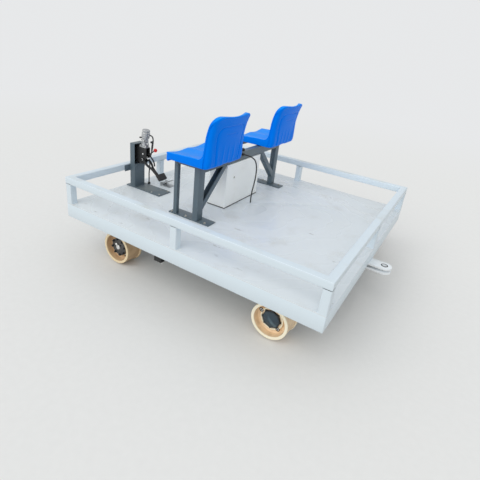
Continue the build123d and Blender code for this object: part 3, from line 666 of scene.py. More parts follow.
# %% A skin between rings
def skin(rings, closed=False):
    """Faces between rings that all have the same number of points; closed joins the last to the first."""
    count = len(rings[0])
    faces = []
    for row in range(len(rings) - (0 if closed else 1)):
        first, second = row * count, (row + 1) % len(rings) * count
        for index in range(count):
            after = (index + 1) % count
            faces.append((first + index, first + after, second + after, second + index))
    return faces


print("three rings of four points take", len(skin([range(4)] * 3)), "faces")


# %% Parts that are turned, lofted, cut and bent
class Shape:
    """The points and faces of one piece, part by part, in millimetres from the deck's middle."""

    def __init__(self):
        self.points = []
        self.faces = []

    def loft(self, rings, closed=False):
        """A skin over rings of points. Its ends are capped, unless it closes on itself."""
        first, count = len(self.points), len(rings[0])
        self.points += [Vector(point) for ring in rings for point in ring]
        self.faces += [tuple(first + index for index in face) for face in skin(rings, closed)]
        if not closed:
            last = first + (len(rings) - 1) * count
            self.faces += [tuple(range(first, first + count)), tuple(range(last, last + count))]
        return self

    def turned(self, centre, axis, profile, sides=64, closed=False):
        """A profile of (along, radius) turned round an axis."""
        centre, axis = Vector(centre), Vector(axis).normalized()
        start = axis.orthogonal().normalized()
        side = axis.cross(start)
        ways = [start * cos(turn) + side * sin(turn) for turn in steps(0, 2 * pi, sides)]
        return self.loft([[centre + axis * along + way * radius for way in ways] for along, radius in profile],
                         closed)

    def bolt(self, centre, axis, wide, high, washer=0.0):
        """A hexagon head, wide across its flats, on a washer when that has a radius."""
        base = 0.0
        if washer:
            self.turned(centre, axis, [(0, washer), (1.2, washer), (1.8, washer - 0.6)], 32)
            base = 1.8
        corner = wide / 2 / cos(pi / 6)
        head = [(base, corner), (base + 0.8 * high, corner), (base + high, 0.84 * corner)]
        return self.turned(centre, axis, head, 6)

    def cut(self, way, outline, low, high):
        """An outline given a thickness along X, Y or Z."""
        order = {"X": (2, 0, 1), "Y": (0, 2, 1), "Z": (0, 1, 2)}[way]
        rings = []
        for level in (low, high):
            rows = [(across, up, level) for across, up in outline]
            rings.append([tuple(row[place] for place in order) for row in rows])
        return self.loft(rings)

    def block(self, low, high):
        """A block between two corners."""
        outline = [(low[0], low[1]), (high[0], low[1]), (high[0], high[1]), (low[0], high[1])]
        return self.cut("Z", outline, low[2], high[2])

    def bent(self, path, outline):
        """An outline carried along a path: a bent bar or pipe."""
        rings, start = [], None
        for index, point in enumerate(path):
            ahead, behind = path[min(index + 1, len(path) - 1)], path[max(index - 1, 0)]
            way = (Vector(ahead) - Vector(behind)).normalized()
            start = start or Vector((0, 1, 0))
            start = (start - way * start.dot(way)).normalized()
            side = way.cross(start)
            rings.append([Vector(point) + start * across + side * up for across, up in outline])
        return self.loft(rings)

    def made(self, name, slot, **settings):
        """The piece itself."""
        piece(name, [spot(*point) for point in self.points], self.faces, slot, **settings)


print("a bolt has", len(Shape().bolt((0, 0, 0), (0, 0, 1), 13, 8).faces), "faces")

# %% [markdown]
# ## Softened steel
#
# No steel edge is as sharp as a drawn one: plates are sheared, tubes are rolled, and paint pulls back
# round every corner. Where a packed solid has the right shape, its mesh is copied, flats that were cut
# into triangles are joined again, and a bevel of a millimetre or two goes along its sharp edges.

# %% Copies of solids with softened edges
softened = {
    "frame_channel_near": 2.0, "frame_channel_far": 2.0, "frame_channel_front": 2.0, "frame_channel_rear": 2.0,
    "deck_plate": 1.2, "bolster_front": 2.0, "bolster_rear": 2.0, "cross_member_front": 2.0,
    "cross_member_rear": 2.0, "axle_hangers": 1.5, "bearing_housings": 2.5, "drive_gearbox": 3.0,
    "brake_caliper": 3.0, "bench_base_bars": 1.2, "bench_front_legs": 2.5, "bench_rear_legs": 1.2,
    "bench_side_bars": 2.5, "bench_front_beam": 2.5, "bench_rear_beam": 1.2, "bench_braces": 1.0,
    "power_box": 1.5, "pedal_base_plate": 1.2, "pedal_column": 1.5, "pedal_column_cover": 0.8,
    "coupling_plate_upper": 1.5, "coupling_plate_lower": 1.5, "coupling_spacer": 1.5,
    "accelerator_base": 1.5, "accelerator_treadle": 2.0,
}
for name, width in softened.items():
    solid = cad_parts[name]
    settle(name + "_soft", solid.data.copy(), finish_of[name], replaces=[name], smooth=32, edge=width)

# %% [markdown]
# ## Guard rail and posts
#
# The guard rail is square tube, cut at 45 degrees and welded at the corners. A tube's own corners are
# rolled to a radius, so a plain box would look wrong from end to end. A rounded square is drawn once
# and set at the four corners of the ring, where each one is widened along the diagonal. The posts are
# the same tube standing up. Weld beads are thin rings of uneven width where two tubes meet.

# %% The tube's section, and the rail round the deck
rail_low, rail_high = edges("guard_rail_near")
tube = (rail_high[2] - rail_low[2]) / 2
rail_middle = rail_low[2] + tube
rail_x, rail_y = rail_high[0] - tube, -rail_low[1] - tube
section = rectangle(tube, tube, -tube, -tube, 6, 5)
ring = []
for side_x, side_y in ((-1, -1), (1, -1), (1, 1), (-1, 1)):
    ring.append([spot(side_x * (rail_x + across), side_y * (rail_y + across), rail_middle + up)
                 for across, up in section])
piece("guard_rail", sum(ring, []), skin(ring, closed=True), "frame_paint", smooth=40,
      replaces=["guard_rail_near", "guard_rail_far", "guard_rail_front", "guard_rail_rear"])


# %% A weld bead
def divided(outline, count):
    """An outline with more points: each of its sides longer than 5 mm is divided."""
    points = []
    for (x, y), (next_x, next_y) in zip(outline, outline[1:] + outline[:1]):
        parts = count if hypot(next_x - x, next_y - y) > 5 else 1
        points += [(x + (next_x - x) * part / parts, y + (next_y - y) * part / parts) for part in range(parts)]
    return points


def bead(shape, place_x, place_y, level, up, seed):
    """A weld bead round a post: a quarter round of uneven width between the post and a level face."""
    wider = rectangle(tube + 1, tube + 1, -tube - 1, -tube - 1, 7, 5)
    rows = list(zip(divided(section, 12), divided(wider, 12)))
    limit_x, limit_y = rail_x + tube - 0.2, rail_y + tube - 0.2
    rings = []
    for turn in steps(0, pi / 2, 4) + [pi / 2]:
        ring = []
        for index, ((x, y), (out_x, out_y)) in enumerate(rows):
            wide = 4.2 + 0.8 * sin(1.7 * index + seed) + 0.4 * sin(4.9 * index + 2 * seed)
            reach = wide * cos(turn) - 0.3
            at_x = min(max(place_x + x + (out_x - x) * reach, -limit_x), limit_x)
            at_y = min(max(place_y + y + (out_y - y) * reach, -limit_y), limit_y)
            ring.append((at_x, at_y, level + up * wide * sin(turn)))
        rings.append(ring)
    shape.loft(rings)


print("the tube's outline has", len(section), "points, and", len(divided(section, 12)), "for a bead")

# %% Posts, with beads at their feet and heads
deck_top = edges("deck_plate")[1][2]
levels = deck_top, rail_low[2]
post_places = [(x, y) for x in (-rail_x, 0, rail_x) for y in (-rail_y, 0, rail_y) if (x, y) != (0, 0)]
posts = Shape()
for seed, (x, y) in enumerate(post_places):
    posts.loft([[(x + across, y + along, level) for across, along in section] for level in levels])
    bead(posts, x, y, deck_top, 1, seed)
    bead(posts, x, y, rail_low[2], -1, seed + 0.5)
posts.made("rail_posts_welded", "frame_paint", replaces=["rail_posts"], smooth=40)

# %% [markdown]
# ## The seats
#
# Each seat is one hollow plastic moulding: a pan with two dips for the thighs, and a back that is bowed
# round the sitter. Its shape is a side view that changes from the middle of the seat to its flanks.
# Sculpting it by hand would never give two flanks alike, and a box with modifiers can't follow the bow,
# so the skin is worked out row by row. A front skin and a rear skin are made from tables of the side
# view, and a rounded rim joins them round the flanks and over the top.

# %% The seat's sizes, read off its solid, and the measures of its moulding
seat_low, seat_high = edges("seat_near")
seat_x, _, seat_z = seat_low
seat_half = (seat_high[1] - seat_low[1]) / 2
seat_top = seat_high[2] - seat_z
seat_taper, seat_shoulder = 14, 60
seat_rim, seat_lip, seat_foot = 7, 10, 4
bend_foot, rear_round = 110, 9
front_run, pan_run, bend_run, wall_run, shoulder_run = 12, 30, 46, 42, 20
print("seat", 2 * seat_half, "mm wide and", seat_top, "mm high")

# %% The seat's side view, in millimetres from its front and from the bench
# columns: height, reach from the seat's front
back_face_middle = [(110, 334), (160, 344), (205, 352), (270, 366), (301, 375), (345, 391)]
back_face_flank = [(110, 303), (142, 306), (167, 308), (203, 311), (234, 316), (256, 321), (281, 328),
                   (301, 336), (319, 345), (338, 360), (345, 374)]
rear_middle = [(0, 344), (45, 350), (120, 358), (185, 367), (245, 380), (294, 393), (345, 406)]
rear_flank = [(0, 338), (15, 341), (45, 347), (116, 347), (172, 347), (214, 352), (250, 360), (285, 370),
              (312, 383), (336, 399), (345, 401)]
# columns: reach from the seat's front, height of the pan at its flanks
pan_flank = [(0, 52), (100, 56), (196, 61), (267, 62), (300, 62)]
# columns: place across as a share of half the width, dip of the pan
pan_dips = [(0, 9), (0.45, 18), (0.88, 5), (1, 0)]


def blend(middle, flank, across, height):
    """A table's value for the middle of the seat, going over to the flank's."""
    bow = abs(across) ** 2.2
    return (1 - bow) * through(middle, height) + bow * through(flank, height)


def bend_start(across):
    """Where the pan starts to rise, and how far from there to the back rest."""
    bend = 62 - 20 * abs(across) ** 2
    return blend(back_face_middle, back_face_flank, across, bend_foot) - bend, bend


shoulder_foot = seat_top - seat_shoulder
shoulder_turns = steps(0, pi / 2, shoulder_run) + [pi / 2]
back_heights = steps(bend_foot, shoulder_foot, wall_run)
back_heights += [shoulder_foot + (seat_shoulder - seat_rim) * sin(turn) for turn in shoulder_turns]
print("back rest worked out at", len(back_heights), "heights")


# %% The sitter's side and the rear, each as one path from the front's foot to the top
def front_side(across):
    """Side view of the sitter's side, from the foot of the front skirt to the top."""
    dip = through(pan_dips, abs(across))
    start, bend = bend_start(across)
    edge = pan_flank[0][1] - 0.8 * dip - seat_lip
    path = [(20, -8), (14, -8), (8, -6), (3, -1), (1, 8), (0.3, edge * 0.6), (0, edge)]
    path += [(seat_lip * (1 - cos(turn)), edge + seat_lip * sin(turn)) for turn in steps(0, pi / 2, 6)[1:]]
    for reach in steps(seat_lip, start, pan_run):
        share = (reach - seat_lip) / (start - seat_lip)
        path.append((reach, through(pan_flank, reach) - dip * (0.8 + 0.6 * share - 0.4 * share ** 2)))
    low = through(pan_flank, start) - dip
    for turn in steps(0, pi / 2, bend_run):
        path.append((start + bend * sin(turn), low + (bend_foot - low) * (1 - cos(turn))))
    back = [(blend(back_face_middle, back_face_flank, across, height), height) for height in back_heights]
    return path + back


def rear_side(across):
    """Side view of the underside and the rear, with a point for each point of the front side."""
    start, bend = bend_start(across)
    corner = blend(rear_middle, rear_flank, across, 0)
    underside = steps(24, 60, front_run - 3) + steps(60, start, pan_run)
    path = [(20, -8), (21.5, -3), (22, seat_foot)] + [(reach, seat_foot) for reach in underside]
    run = corner - start
    for along in steps(0, run + bend_foot, bend_run):
        if along < run - rear_round:
            path.append((start + along, seat_foot))
        elif along < run + rear_round:
            turn = (along - run + rear_round) / (2 * rear_round) * pi / 2
            path.append((corner - rear_round * (1 - sin(turn)), seat_foot + rear_round * (1 - cos(turn))))
        else:
            height = max(along - run, seat_foot + rear_round)
            path.append((blend(rear_middle, rear_flank, across, height), height))
    return path + [(blend(rear_middle, rear_flank, across, height), height) for height in back_heights]
print("side view:", len(front_side(0)), "points on the sitter's side,", len(rear_side(0)), "behind")

# %% Width and top edge
def half_width(reach, height):
    """Half the width at a height, drawn in by the rim, with round front corners and shoulders."""
    rise = min(max((height - pan_flank[0][1]) / (seat_top - 1 - pan_flank[0][1]), 0), 1)
    wide = seat_half - seat_taper * rise - seat_rim
    corner = 8
    if reach < corner:
        wide += sqrt(corner ** 2 - (corner - reach) ** 2) - corner
    if height > shoulder_foot:
        radius = seat_shoulder - seat_rim
        wide += sqrt(max(radius ** 2 - (height - shoulder_foot) ** 2, 0)) - radius
    return wide


def sag(across, height):
    """How much lower the top edge and the rows below it lie towards the middle."""
    reach = 40
    share = max(height - shoulder_foot + reach, 0) / (seat_shoulder + reach)
    return 9 * share ** 2 * (1 - across ** 2) ** 2


print("half width at the top", round(half_width(seat_high[0] - seat_x, back_heights[-1]), 1))


# %% Soft steps and a hill
def grows(value, start, run):
    """0 up to start, then a soft rise to 1."""
    share = min(max((value - start) / run, 0), 1)
    return share * share * (3 - 2 * share)


def fades(value, end, run):
    """1, then a soft fall to 0 at end."""
    return grows(-value, -end, run)


def hill(distance, width):
    """1 at no distance, and less on both sides."""
    return exp(-(distance / width) ** 2)


print("half a step:", grows(5, 0, 10), fades(5, 10, 10), "and a hill's flank:", round(hill(5, 10), 3))


# %% The rear's rolled flanks and pressed lines
def rolled(y, reach, height, front):
    """How far the rear skin turns forward where it rolls round into the flank."""
    roll, top_start = 32, 270
    beyond = min(max(1 - (half_width(reach, height) - abs(y)) / roll, 0), 1)
    deep = max(reach - front - 2 * seat_rim, 0) * (1 - 0.8 * grows(height, top_start, 60))
    return deep * (1 - sqrt(1 - beyond ** 2))


def pressed(y, height):
    """How far the rear skin stands out at a place: the panel's groove, a ridge, a line and flutes."""
    panel_top, panel_corner = 271, 52
    side = abs(y)
    panel_half = 133 + 17 * min(height / 205, 1)
    beyond = hypot(max(side - panel_half + panel_corner, 0), max(height - panel_top + panel_corner, 0))
    edge = beyond - panel_corner if beyond else max(side - panel_half, height - panel_top)
    groove = -5.0 * hill(edge, 4.5)
    ridge = 3.0 * hill(edge + 17, 8) * fades(height, 200, 130) * grows(side, 60, 40)
    swell = 2.0 * grows(-edge, 6, 26)
    line = -3.0 * hill(height - 218, 3.8) * fades(side, 74, 18)
    flutes = 3.2 * (hill(side, 9) + hill(side - 62, 9)) * fades(height, 170, 90)
    border = 1.6 * hill(side - 178, 9) * fades(height, 150, 80)
    return groove + ridge + swell + line + flutes + border


def notch(y, height):
    """The foot of the rear skin lifts over the bench's bolt in the middle."""
    return 4 * fades(abs(y), 52, 26) * fades(height, 46, 40)


print("groove", round(pressed(146, 150), 2), "mm deep")

# %% Two skins, point for point
columns = 110
corner_reach = 300


def skin_row(across, front_path, rear_path):
    """The front skin's points and the rear skin's points at one place across the seat."""
    fronts, rears = [], []
    for index, ((front, rise), (rear, height)) in enumerate(zip(front_path, rear_path)):
        fronts.append(Vector((front, across * half_width(front, rise), rise - sag(across, rise))))
        y = across * half_width(rear, height)
        if index > front_run + pan_run:
            stand = pressed(y, height) * grows(height, seat_foot, 20)
            turned = rolled(y, rear, height, front) * grows(height, -60, 100)
            reach = rear + stand - turned * grows(rear, corner_reach, 30)
            rears.append(Vector((reach, y, height - sag(across, height) + notch(y, height))))
        else:
            rears.append(Vector((rear, y, height)))
    return fronts, rears


print("each skin has", columns + 1, "rows of", len(front_side(0)), "points")


# %% The rim that joins them, and the two seats
def rim_strip(start, end, side_y, side_z):
    """The rim's points from the front skin to the rear skin, bowed out to one side."""
    out = Vector((0, side_y, side_z)) * seat_rim
    rounding = (end - start).normalized() * min(seat_rim, (end - start).length / 2)
    turns = steps(0, pi / 2, 5)[1:] + [pi / 2]
    bowed = [start + out * sin(turn) + rounding * (1 - cos(turn)) for turn in turns]
    return bowed + [end + out * sin(turn) - rounding * (1 - cos(turn)) for turn in reversed(turns)]


def seat_mesh(centre):
    """Points and faces of one seat, from its two skins and the rim."""
    points, fronts, rears, faces = [], [], [], []
    for column in range(columns + 1):
        across = 2 * column / columns - 1
        for row, grid in zip(skin_row(across, front_side(across), rear_side(across)), (fronts, rears)):
            grid.append(range(len(points), len(points) + len(row)))
            points += row
    rows = len(fronts[0])
    for grid in (fronts, rears):
        for left, right in zip(grid, grid[1:]):
            faces += [(left[row], right[row], right[row + 1], left[row + 1]) for row in range(rows - 1)]

    flank = rows - len(shoulder_turns)
    outward = [(1, 0)] * flank + [(cos(turn), sin(turn)) for turn in shoulder_turns]
    ring = [(fronts[0][row], rears[0][row], (-y, z)) for row, (y, z) in enumerate(outward)]
    ring += [(front[-1], rear[-1], (0, 1)) for front, rear in zip(fronts[1:-1], rears[1:-1])]
    ring += [(fronts[-1][row], rears[-1][row], way) for row, way in reversed(list(enumerate(outward)))]
    before = None
    for front, rear, way in ring:
        bowed = rim_strip(points[front], points[rear], *way)
        strip = [front, *range(len(points), len(points) + len(bowed)), rear]
        points += bowed
        if before:
            faces += list(zip(before, strip, strip[1:], before[1:]))
        before = strip
    return [spot(seat_x + p.x, centre + p.y, seat_z + p.z) for p in points], faces


for name in ("seat_near", "seat_far"):
    piece("moulded_" + name, *seat_mesh(middle(name)[1]), "seat_plastic", smooth=50, replaces=[name])

# %% [markdown]
# ## Wheels, hubs and axles
#
# A rail wheel is cast and then turned, so its section is drawn once and turned round the axle, finely
# enough that no facet shows on the rim. The section has the tread's small taper, the flange, a thin web
# set deep behind the rim and a fat boss. On the front pair a dark plate is bolted on the boss, with
# the bright end of the axle in its middle. The rear pair has a lobed cap inside a raised ring, and two
# bolts with washers beside it.

# %% Wheel sections, from the outer face inwards
tread, flange, rim_inside, boss_radius, bore = 124, 134, 104, 64, 32
wheel_wide = 132


def wheel_section(boss):
    """Rows of (depth, radius) round the wheel's section; boss is the part about the axle."""
    # columns: radius, depth from the outer face, rounding
    rim = [(rim_inside, 0, 2), (tread - 1.5, 0, 3), (tread, 114, 3), (flange, 114, 5), (flange, wheel_wide, 5),
           (rim_inside, wheel_wide, 2), (rim_inside, 68, 9), (boss_radius, 68, 9), (boss_radius, 102, 3),
           (bore, 102, 0)]
    return [(depth, radius) for radius, depth in rounded(rim + boss + [(rim_inside, 52, 9)])]


plain_boss = [(bore, 40, 0), (boss_radius, 40, 3), (boss_radius, 52, 8)]
ringed_boss = [(bore, 40, 0), (68, 40, 1), (68, 35, 2), (76, 35, 2.5), (76, 52, 8)]
sections = {"front": wheel_section(plain_boss), "rear": wheel_section(ringed_boss)}
print("wheel sections:", {end: len(rows) for end, rows in sections.items()}, "points")


# %% Wheels, with two bosses beside each rear hub
def around(end, y, radius, turn):
    """A place on a circle about an axle."""
    return (wheelsets[end] + radius * cos(turn), y, axle_height + radius * sin(turn))


# columns: turn about the axle, distance from it
cap_bolt_places = [(radians(156), 81), (radians(-47), 73)]
for end, axle_x in wheelsets.items():
    for place, way in (("near", 1), ("far", -1)):
        face = (axle_x, -way * wheel_face, axle_height)
        wheel = Shape().turned(face, (0, way, 0), sections[end], 128, closed=True)
        for turn, radius in cap_bolt_places if end == "rear" else []:
            foot = around(end, -way * (wheel_face - 52), radius, turn)
            wheel.turned(foot, (0, -way, 0), [(-1, 15), (14, 15), (16, 13.5)], 32)
        wheel.made(f"turned_wheel_{end}_{place}", "wheel_paint", body=end + "_wheelset", smooth=30,
                   replaces=[f"wheel_{end}_{place}"])

# %% Axles, and the disc on the front one
# columns: finish, half length, radius of the tip, half length of the seat in the wheel
ends = {"front": ("bright_steel", 798, 17, 787), "rear": ("axle_steel", 783, 29, 780)}
seat_radius, axle_radius, shoulder = 31.8, 35, 682
for end, (finish, tip, tip_radius, seat) in ends.items():
    half = [(tip, 0), (tip, 4), (tip, tip_radius - 2), (tip - 2, tip_radius), (seat, tip_radius),
            (seat - 1, seat_radius), (shoulder, seat_radius), (shoulder, axle_radius)]
    profile = [(-along, radius) for along, radius in half] + list(reversed(half))
    Shape().turned((wheelsets[end], 0, axle_height), (0, 1, 0), profile).made(
        "turned_axle_" + end, finish, body=end + "_wheelset", smooth=30, replaces=["axle_" + end])
# columns: along the axle, radius
half_disc = [(17, axle_radius), (17, 60), (15, 62), (5, 64), (5, 104), (4, 105)]
disc = [(-along, radius) for along, radius in half_disc] + list(reversed(half_disc))
print("axles turned")

# %% Front hubs: a plate on eight bolts, and a lock bolt beside it
plates, dark_bolts, bright_bolts, caps, cap_bolts, dark_rings = [Shape() for part in range(6)]
hub_face = wheel_face - 40
plate_front, web_front = hub_face + 14, wheel_face - 52
bolt_circle = 62
# columns: out from the wheel's boss, radius
plate_section = [(0, 18), (0, 68), (12, 68), (14, 66), (14, 46), (15.5, 44), (15.5, 30), (14, 28), (14, 18)]
for way in (-1, 1):
    out = (0, way, 0)
    plates.turned((wheelsets["front"], way * hub_face, axle_height), out, plate_section, 96, closed=True)
    for turn in steps(radians(10), radians(370), 8):
        plates.turned(around("front", way * hub_face, bolt_circle, turn), out, [(0, 10), (13, 10), (14, 9)], 24)
        dark_bolts.bolt(around("front", way * plate_front, bolt_circle, turn), out, 15, 8.5, washer=9.5)
    dark_bolts.bolt(around("front", way * plate_front, 24, radians(40)), out, 9, 8)
    cap_screw = around("front", way * plate_front, 27, radians(140))
    bright_bolts.turned(cap_screw, out, [(0, 10), (6, 10), (9, 7), (10, 3)], 24)
    lock = around("front", way * web_front, 82, radians(-50))
    bright_bolts.turned(lock, out, [(0, 15), (3, 15), (4.5, 13)], 40)
    dark_bolts.bolt(around("front", way * (web_front + 4.5), 82, radians(-50)), out, 13, 9)
print("front hubs:", len(dark_bolts.faces), "faces of bolts")

# %% Rear hubs: a domed cap with eight lobes, and two bolts beside it
lobes = 8
lobed = []
for turn in steps(0, 2 * pi, 160):
    nearest = abs((turn * lobes / (2 * pi) + 0.5) % 1 - 0.5) * 2 * pi / lobes
    lobed.append((turn, 57.5 / cos(pi / lobes - nearest) + 4.2 * max(0, 1 - nearest / 0.13)))
# columns: out from the wheel's boss, drawn in towards the axle
dome = [(0, 0), (11, 0), (13, 1.2), (14, 3.5), (15.5, 14), (20, 26), (22.3, 40), (23, 52)]
for way in (-1, 1):
    out = (0, way, 0)
    rings = []
    for rise, inset in dome:
        level = way * (hub_face + rise)
        rings.append([around("rear", level, radius - inset * (1 if inset < 5 else (radius - 3) / 55), turn)
                      for turn, radius in lobed])
    caps.loft(rings)
    for turn, radius in cap_bolt_places:
        seat = around("rear", way * (wheel_face - 36), radius, turn)
        dark_rings.turned(seat, out, [(0, 14), (1.5, 14), (1.5, 8), (0, 8)], 40, closed=True)
        cap_bolts.turned(seat, out, [(0, 9), (2.5, 9), (3.2, 8.2)], 40)
        dark_rings.bolt(around("rear", way * (wheel_face - 33), radius, turn), out, 8, 5)
print("rear hubs:", len(caps.faces), "faces of caps")

# %% The hubs' pieces and the disc
plates.made("hub_plates_bolted", "hub_steel", body="front_wheelset", smooth=35, replaces=["hub_plates_front"])
dark_bolts.made("hub_bolts", "black_metal", body="front_wheelset", smooth=30)
bright_bolts.made("hub_lock_bolts", "bright_steel", body="front_wheelset", smooth=30)
caps.made("hub_caps_lobed", "cap_paint", body="rear_wheelset", smooth=35, replaces=["hub_plates_rear"])
cap_bolts.made("hub_cap_washers", "bright_steel", body="rear_wheelset", smooth=30)
dark_rings.made("hub_cap_bolts", "black_metal", body="rear_wheelset", smooth=30)
Shape().turned(middle("brake_disc"), (0, 1, 0), disc, 96, closed=True).made(
    "turned_brake_disc", "disc_iron", body="front_wheelset", smooth=30, replaces=["brake_disc"])

# %% [markdown]
# ## Bolts, pads and the box
#
# The bench is bolted to the deck through the flat bars under its legs, and the seats rest on small
# rubber pads over the beams. The white box has a dark strip round its foot, painted shade for the shadow
# gap there, and one small round lock on the side towards the coupling. These are small things, but
# without them the bench seems to float.

# %% Bolts through the bench's bars, the pedal column's base and the seats
bar_low, bar_high = edges("bench_base_bars")
base_top = edges("pedal_base_plate")[1][2]
rear_beam_x = middle("bench_rear_beam")[0]
upwards = (0, 0, 1)
fixings = Shape()
for y in (bar_low[1] + 15, bar_high[1] - 15):
    for x in (-362, -232, -62):
        fixings.bolt((x, y, bar_high[2]), upwards, 13, 7, washer=10)
for x, y in ((-975, -320), (-640, -370), (-640, -270), (-720, -375), (-720, -266)):
    fixings.bolt((x, y, base_top), upwards, 10, 5, washer=8)
for node in ("seat_near", "seat_far"):
    fixings.bolt((rear_beam_x, middle(node)[1], seat_z), upwards, 10, 4)
fixings.made("deck_bolts", "fitting_steel", smooth=30)

# %% Seat pads, and two round connectors on the rear beam
pad_half = 14
pads = Shape()
for x in (middle("bench_front_beam")[0], rear_beam_x):
    for y in (-535, -255, 341, 621):
        pads.cut("Z", rectangle(x - pad_half, y - pad_half, x + pad_half, y + pad_half, 4, 4), seat_z,
                 seat_z + seat_foot)
for y, wide, high in ((28, 13, 18), (0, 10, 25)):
    connector = [(-1, wide), (high - 6, wide), (high - 5, wide - 2), (high - 1, wide - 2), (high, wide - 3.5)]
    pads.turned((rear_beam_x + 1, y, seat_z), upwards, connector, 40)
pads.made("seat_pads", "black_rubber", smooth=35)

# %% The box's strip of painted shade at its foot, and its lock
box_low, box_high = edges("power_box")
# A black strip round the box's foot: painted shade for the shadow gap under the box.
shade_strip_proud, shade_strip_high = 1.5, 6
strip = rectangle(box_low[0] - shade_strip_proud, box_low[1] - shade_strip_proud, box_high[0] + shade_strip_proud,
                  box_high[1] + shade_strip_proud, 4, 4)
Shape().cut("Z", strip, deck_top, deck_top + shade_strip_high).made("box_shade_strip", "black_rubber", smooth=35)
lock_x, lock_y, lock_z = box_high[0], -101, 669
lock = Shape().turned((lock_x, lock_y, lock_z), (1, 0, 0),
                      [(0, 9), (1.5, 9), (2.5, 8), (2.5, 6), (1.8, 5.5), (1.8, 0)], 40)
lock.block((lock_x + 1.6, lock_y - 1, lock_z - 4), (lock_x + 2.6, lock_y + 1, lock_z + 4))
lock.made("box_lock", "fitting_steel", smooth=35)

# %% [markdown]
# ## The brake's junction and the coupling's bush
#
# Under the deck's near edge a black block splits the brake line, and three bright unions screw into it
# from below. The towing fork is two thick plates with a worn steel bush round the pin's hole.

# %% Junction block and bush
block_low, block_high = edges("brake_junction")
block_x, block_y, _ = middle("brake_junction")
block_foot = 292
block = Shape().block((*block_low[:2], block_foot), block_high)
block.made("junction_block", "black_metal", smooth=35, edge=2.0, replaces=["brake_junction"])
unions = Shape()
for x in (block_x - 22, block_x, block_x + 22):
    unions.turned((x, block_y, block_foot), (0, 0, -1), [(-2, 7.6), (5, 7.6), (6, 6.8)], 6)
    unions.turned((x, block_y, block_foot - 5), (0, 0, -1), [(0, 4.2), (9, 4.2), (11, 3.4)], 24)
unions.made("junction_unions", "bright_steel", smooth=35)
eye = (middle("coupling_collar")[0], 0, edges("coupling_plate_upper")[1][2])
Shape().turned(eye, upwards, [(0, 17), (0, 24), (0.6, 24), (0.8, 23.4), (0.8, 17)], 64,
               closed=True).made("coupling_bush", "hub_steel", smooth=30)

# %% [markdown]
# ## The brake pedal's small parts
#
# The pedal stand is crowded: a casting with its fluid pot, a clevis with a pushrod, a bent lever behind
# the arms, a pipe beside the hose, and a ribbed rubber pad. The big solids carry it, and these small
# parts are turned, bent or cut round them, each one touching what holds it.

# %% The casting, which leans forward on its flange
pedal_y = middle("brake_pedal")[1]
near, lean_angle = (0, -1, 0), radians(8)
lean, forward = Vector((sin(lean_angle), 0, cos(lean_angle))), Vector((cos(lean_angle), 0, -sin(lean_angle)))
foot = Vector((-841, pedal_y, edges("pedal_bracket")[1][2]))
casting = Shape()
casting.turned(foot, lean, [(0, 24), (12, 24), (15, 26), (22, 26), (25, 23), (46, 23), (50, 27), (58, 27),
                            (62, 24), (75, 24)], 64)
casting.cut("Z", rectangle(foot.x - 35, pedal_y - 24, foot.x + 35, pedal_y + 24, 9), foot.z, foot.z + 9)
for y in (pedal_y - 19, pedal_y + 19):
    casting.bent(flowing([(-868, y, 792), (-858, y, 806), (-846, y, 834)], 8), circle(3.2, 12))
    casting.bent(flowing([(-812, y, 792), (-818, y, 806), (-822, y, 834)], 8), circle(3.2, 12))
casting.turned(foot + lean * 34, forward, [(20, 9), (34, 9), (38, 7.5)], 32)
casting.made("brake_casting", "cast_aluminium", smooth=35, replaces=["master_cylinder"])

# %% The fluid pot and its knurled lid
pot_foot = foot + lean * 75
pot = Shape().turned(pot_foot, lean, [(0, 26), (3, 30), (6, 31.5), (12, 32), (15, 30.5), (18, 32), (30, 32),
                                      (33, 30.5), (36, 32), (44, 32), (48, 29), (50, 26), (56, 26)], 72)
pot.turned(pot_foot + lean * 30, forward, [(28, 6.5), (40, 6.5), (42, 5.5)], 24)
pot.made("fluid_pot", "cast_aluminium", smooth=35, replaces=["fluid_reservoir"])
lid = Shape().turned(pot_foot + lean * 55, lean, [(0, 25), (0, 29), (1, 29.2), (10, 29.2), (12, 27.5), (12, 20),
                                                  (13, 18), (13, 0)], 72)
for turn in steps(0, 2 * pi, 18):
    side = Vector((cos(turn), sin(turn), 0))
    side = (side - lean * side.dot(lean)).normalized()
    lid.turned(pot_foot + lean * 56 + side * 28.4, lean, [(0, 1.6), (9, 1.6)], 8)
lid.made("fluid_pot_lid", "cast_aluminium", smooth=35)

# %% Bright parts: flange bolts, the pushrod with its clevis, and pin heads
bright = Shape()
for x, y in ((-868, -350), (-868, -316), (-813, -350), (-813, -316)):
    bright.bolt((x, y, foot.z + 9), upwards, 9, 5, washer=6.5)
bright.bent([(-845, pedal_y, 786), (-836, pedal_y, 745), (-826, pedal_y, 704)], circle(4))
bright.block((-833, -342, 694), (-817, -324, 712))
for place, profile, sides in (
        ((-834, -365, 688), [(0, 9), (1.5, 9), (2, 8.5), (2, 7), (5, 7), (6, 6)], 32),
        ((-791, -338, 702), [(-12, 7), (8, 7), (10, 5.5), (11, 2)], 24),
        ((-834, -355, 733), [(0, 6), (3, 6), (4, 5)], 24),
        ((-824, -357, 866), [(-8, 6), (4, 6), (6, 4)], 24)):
    bright.turned(place, near, profile, sides)
bright.made("pedal_bright_parts", "bright_steel", smooth=35)

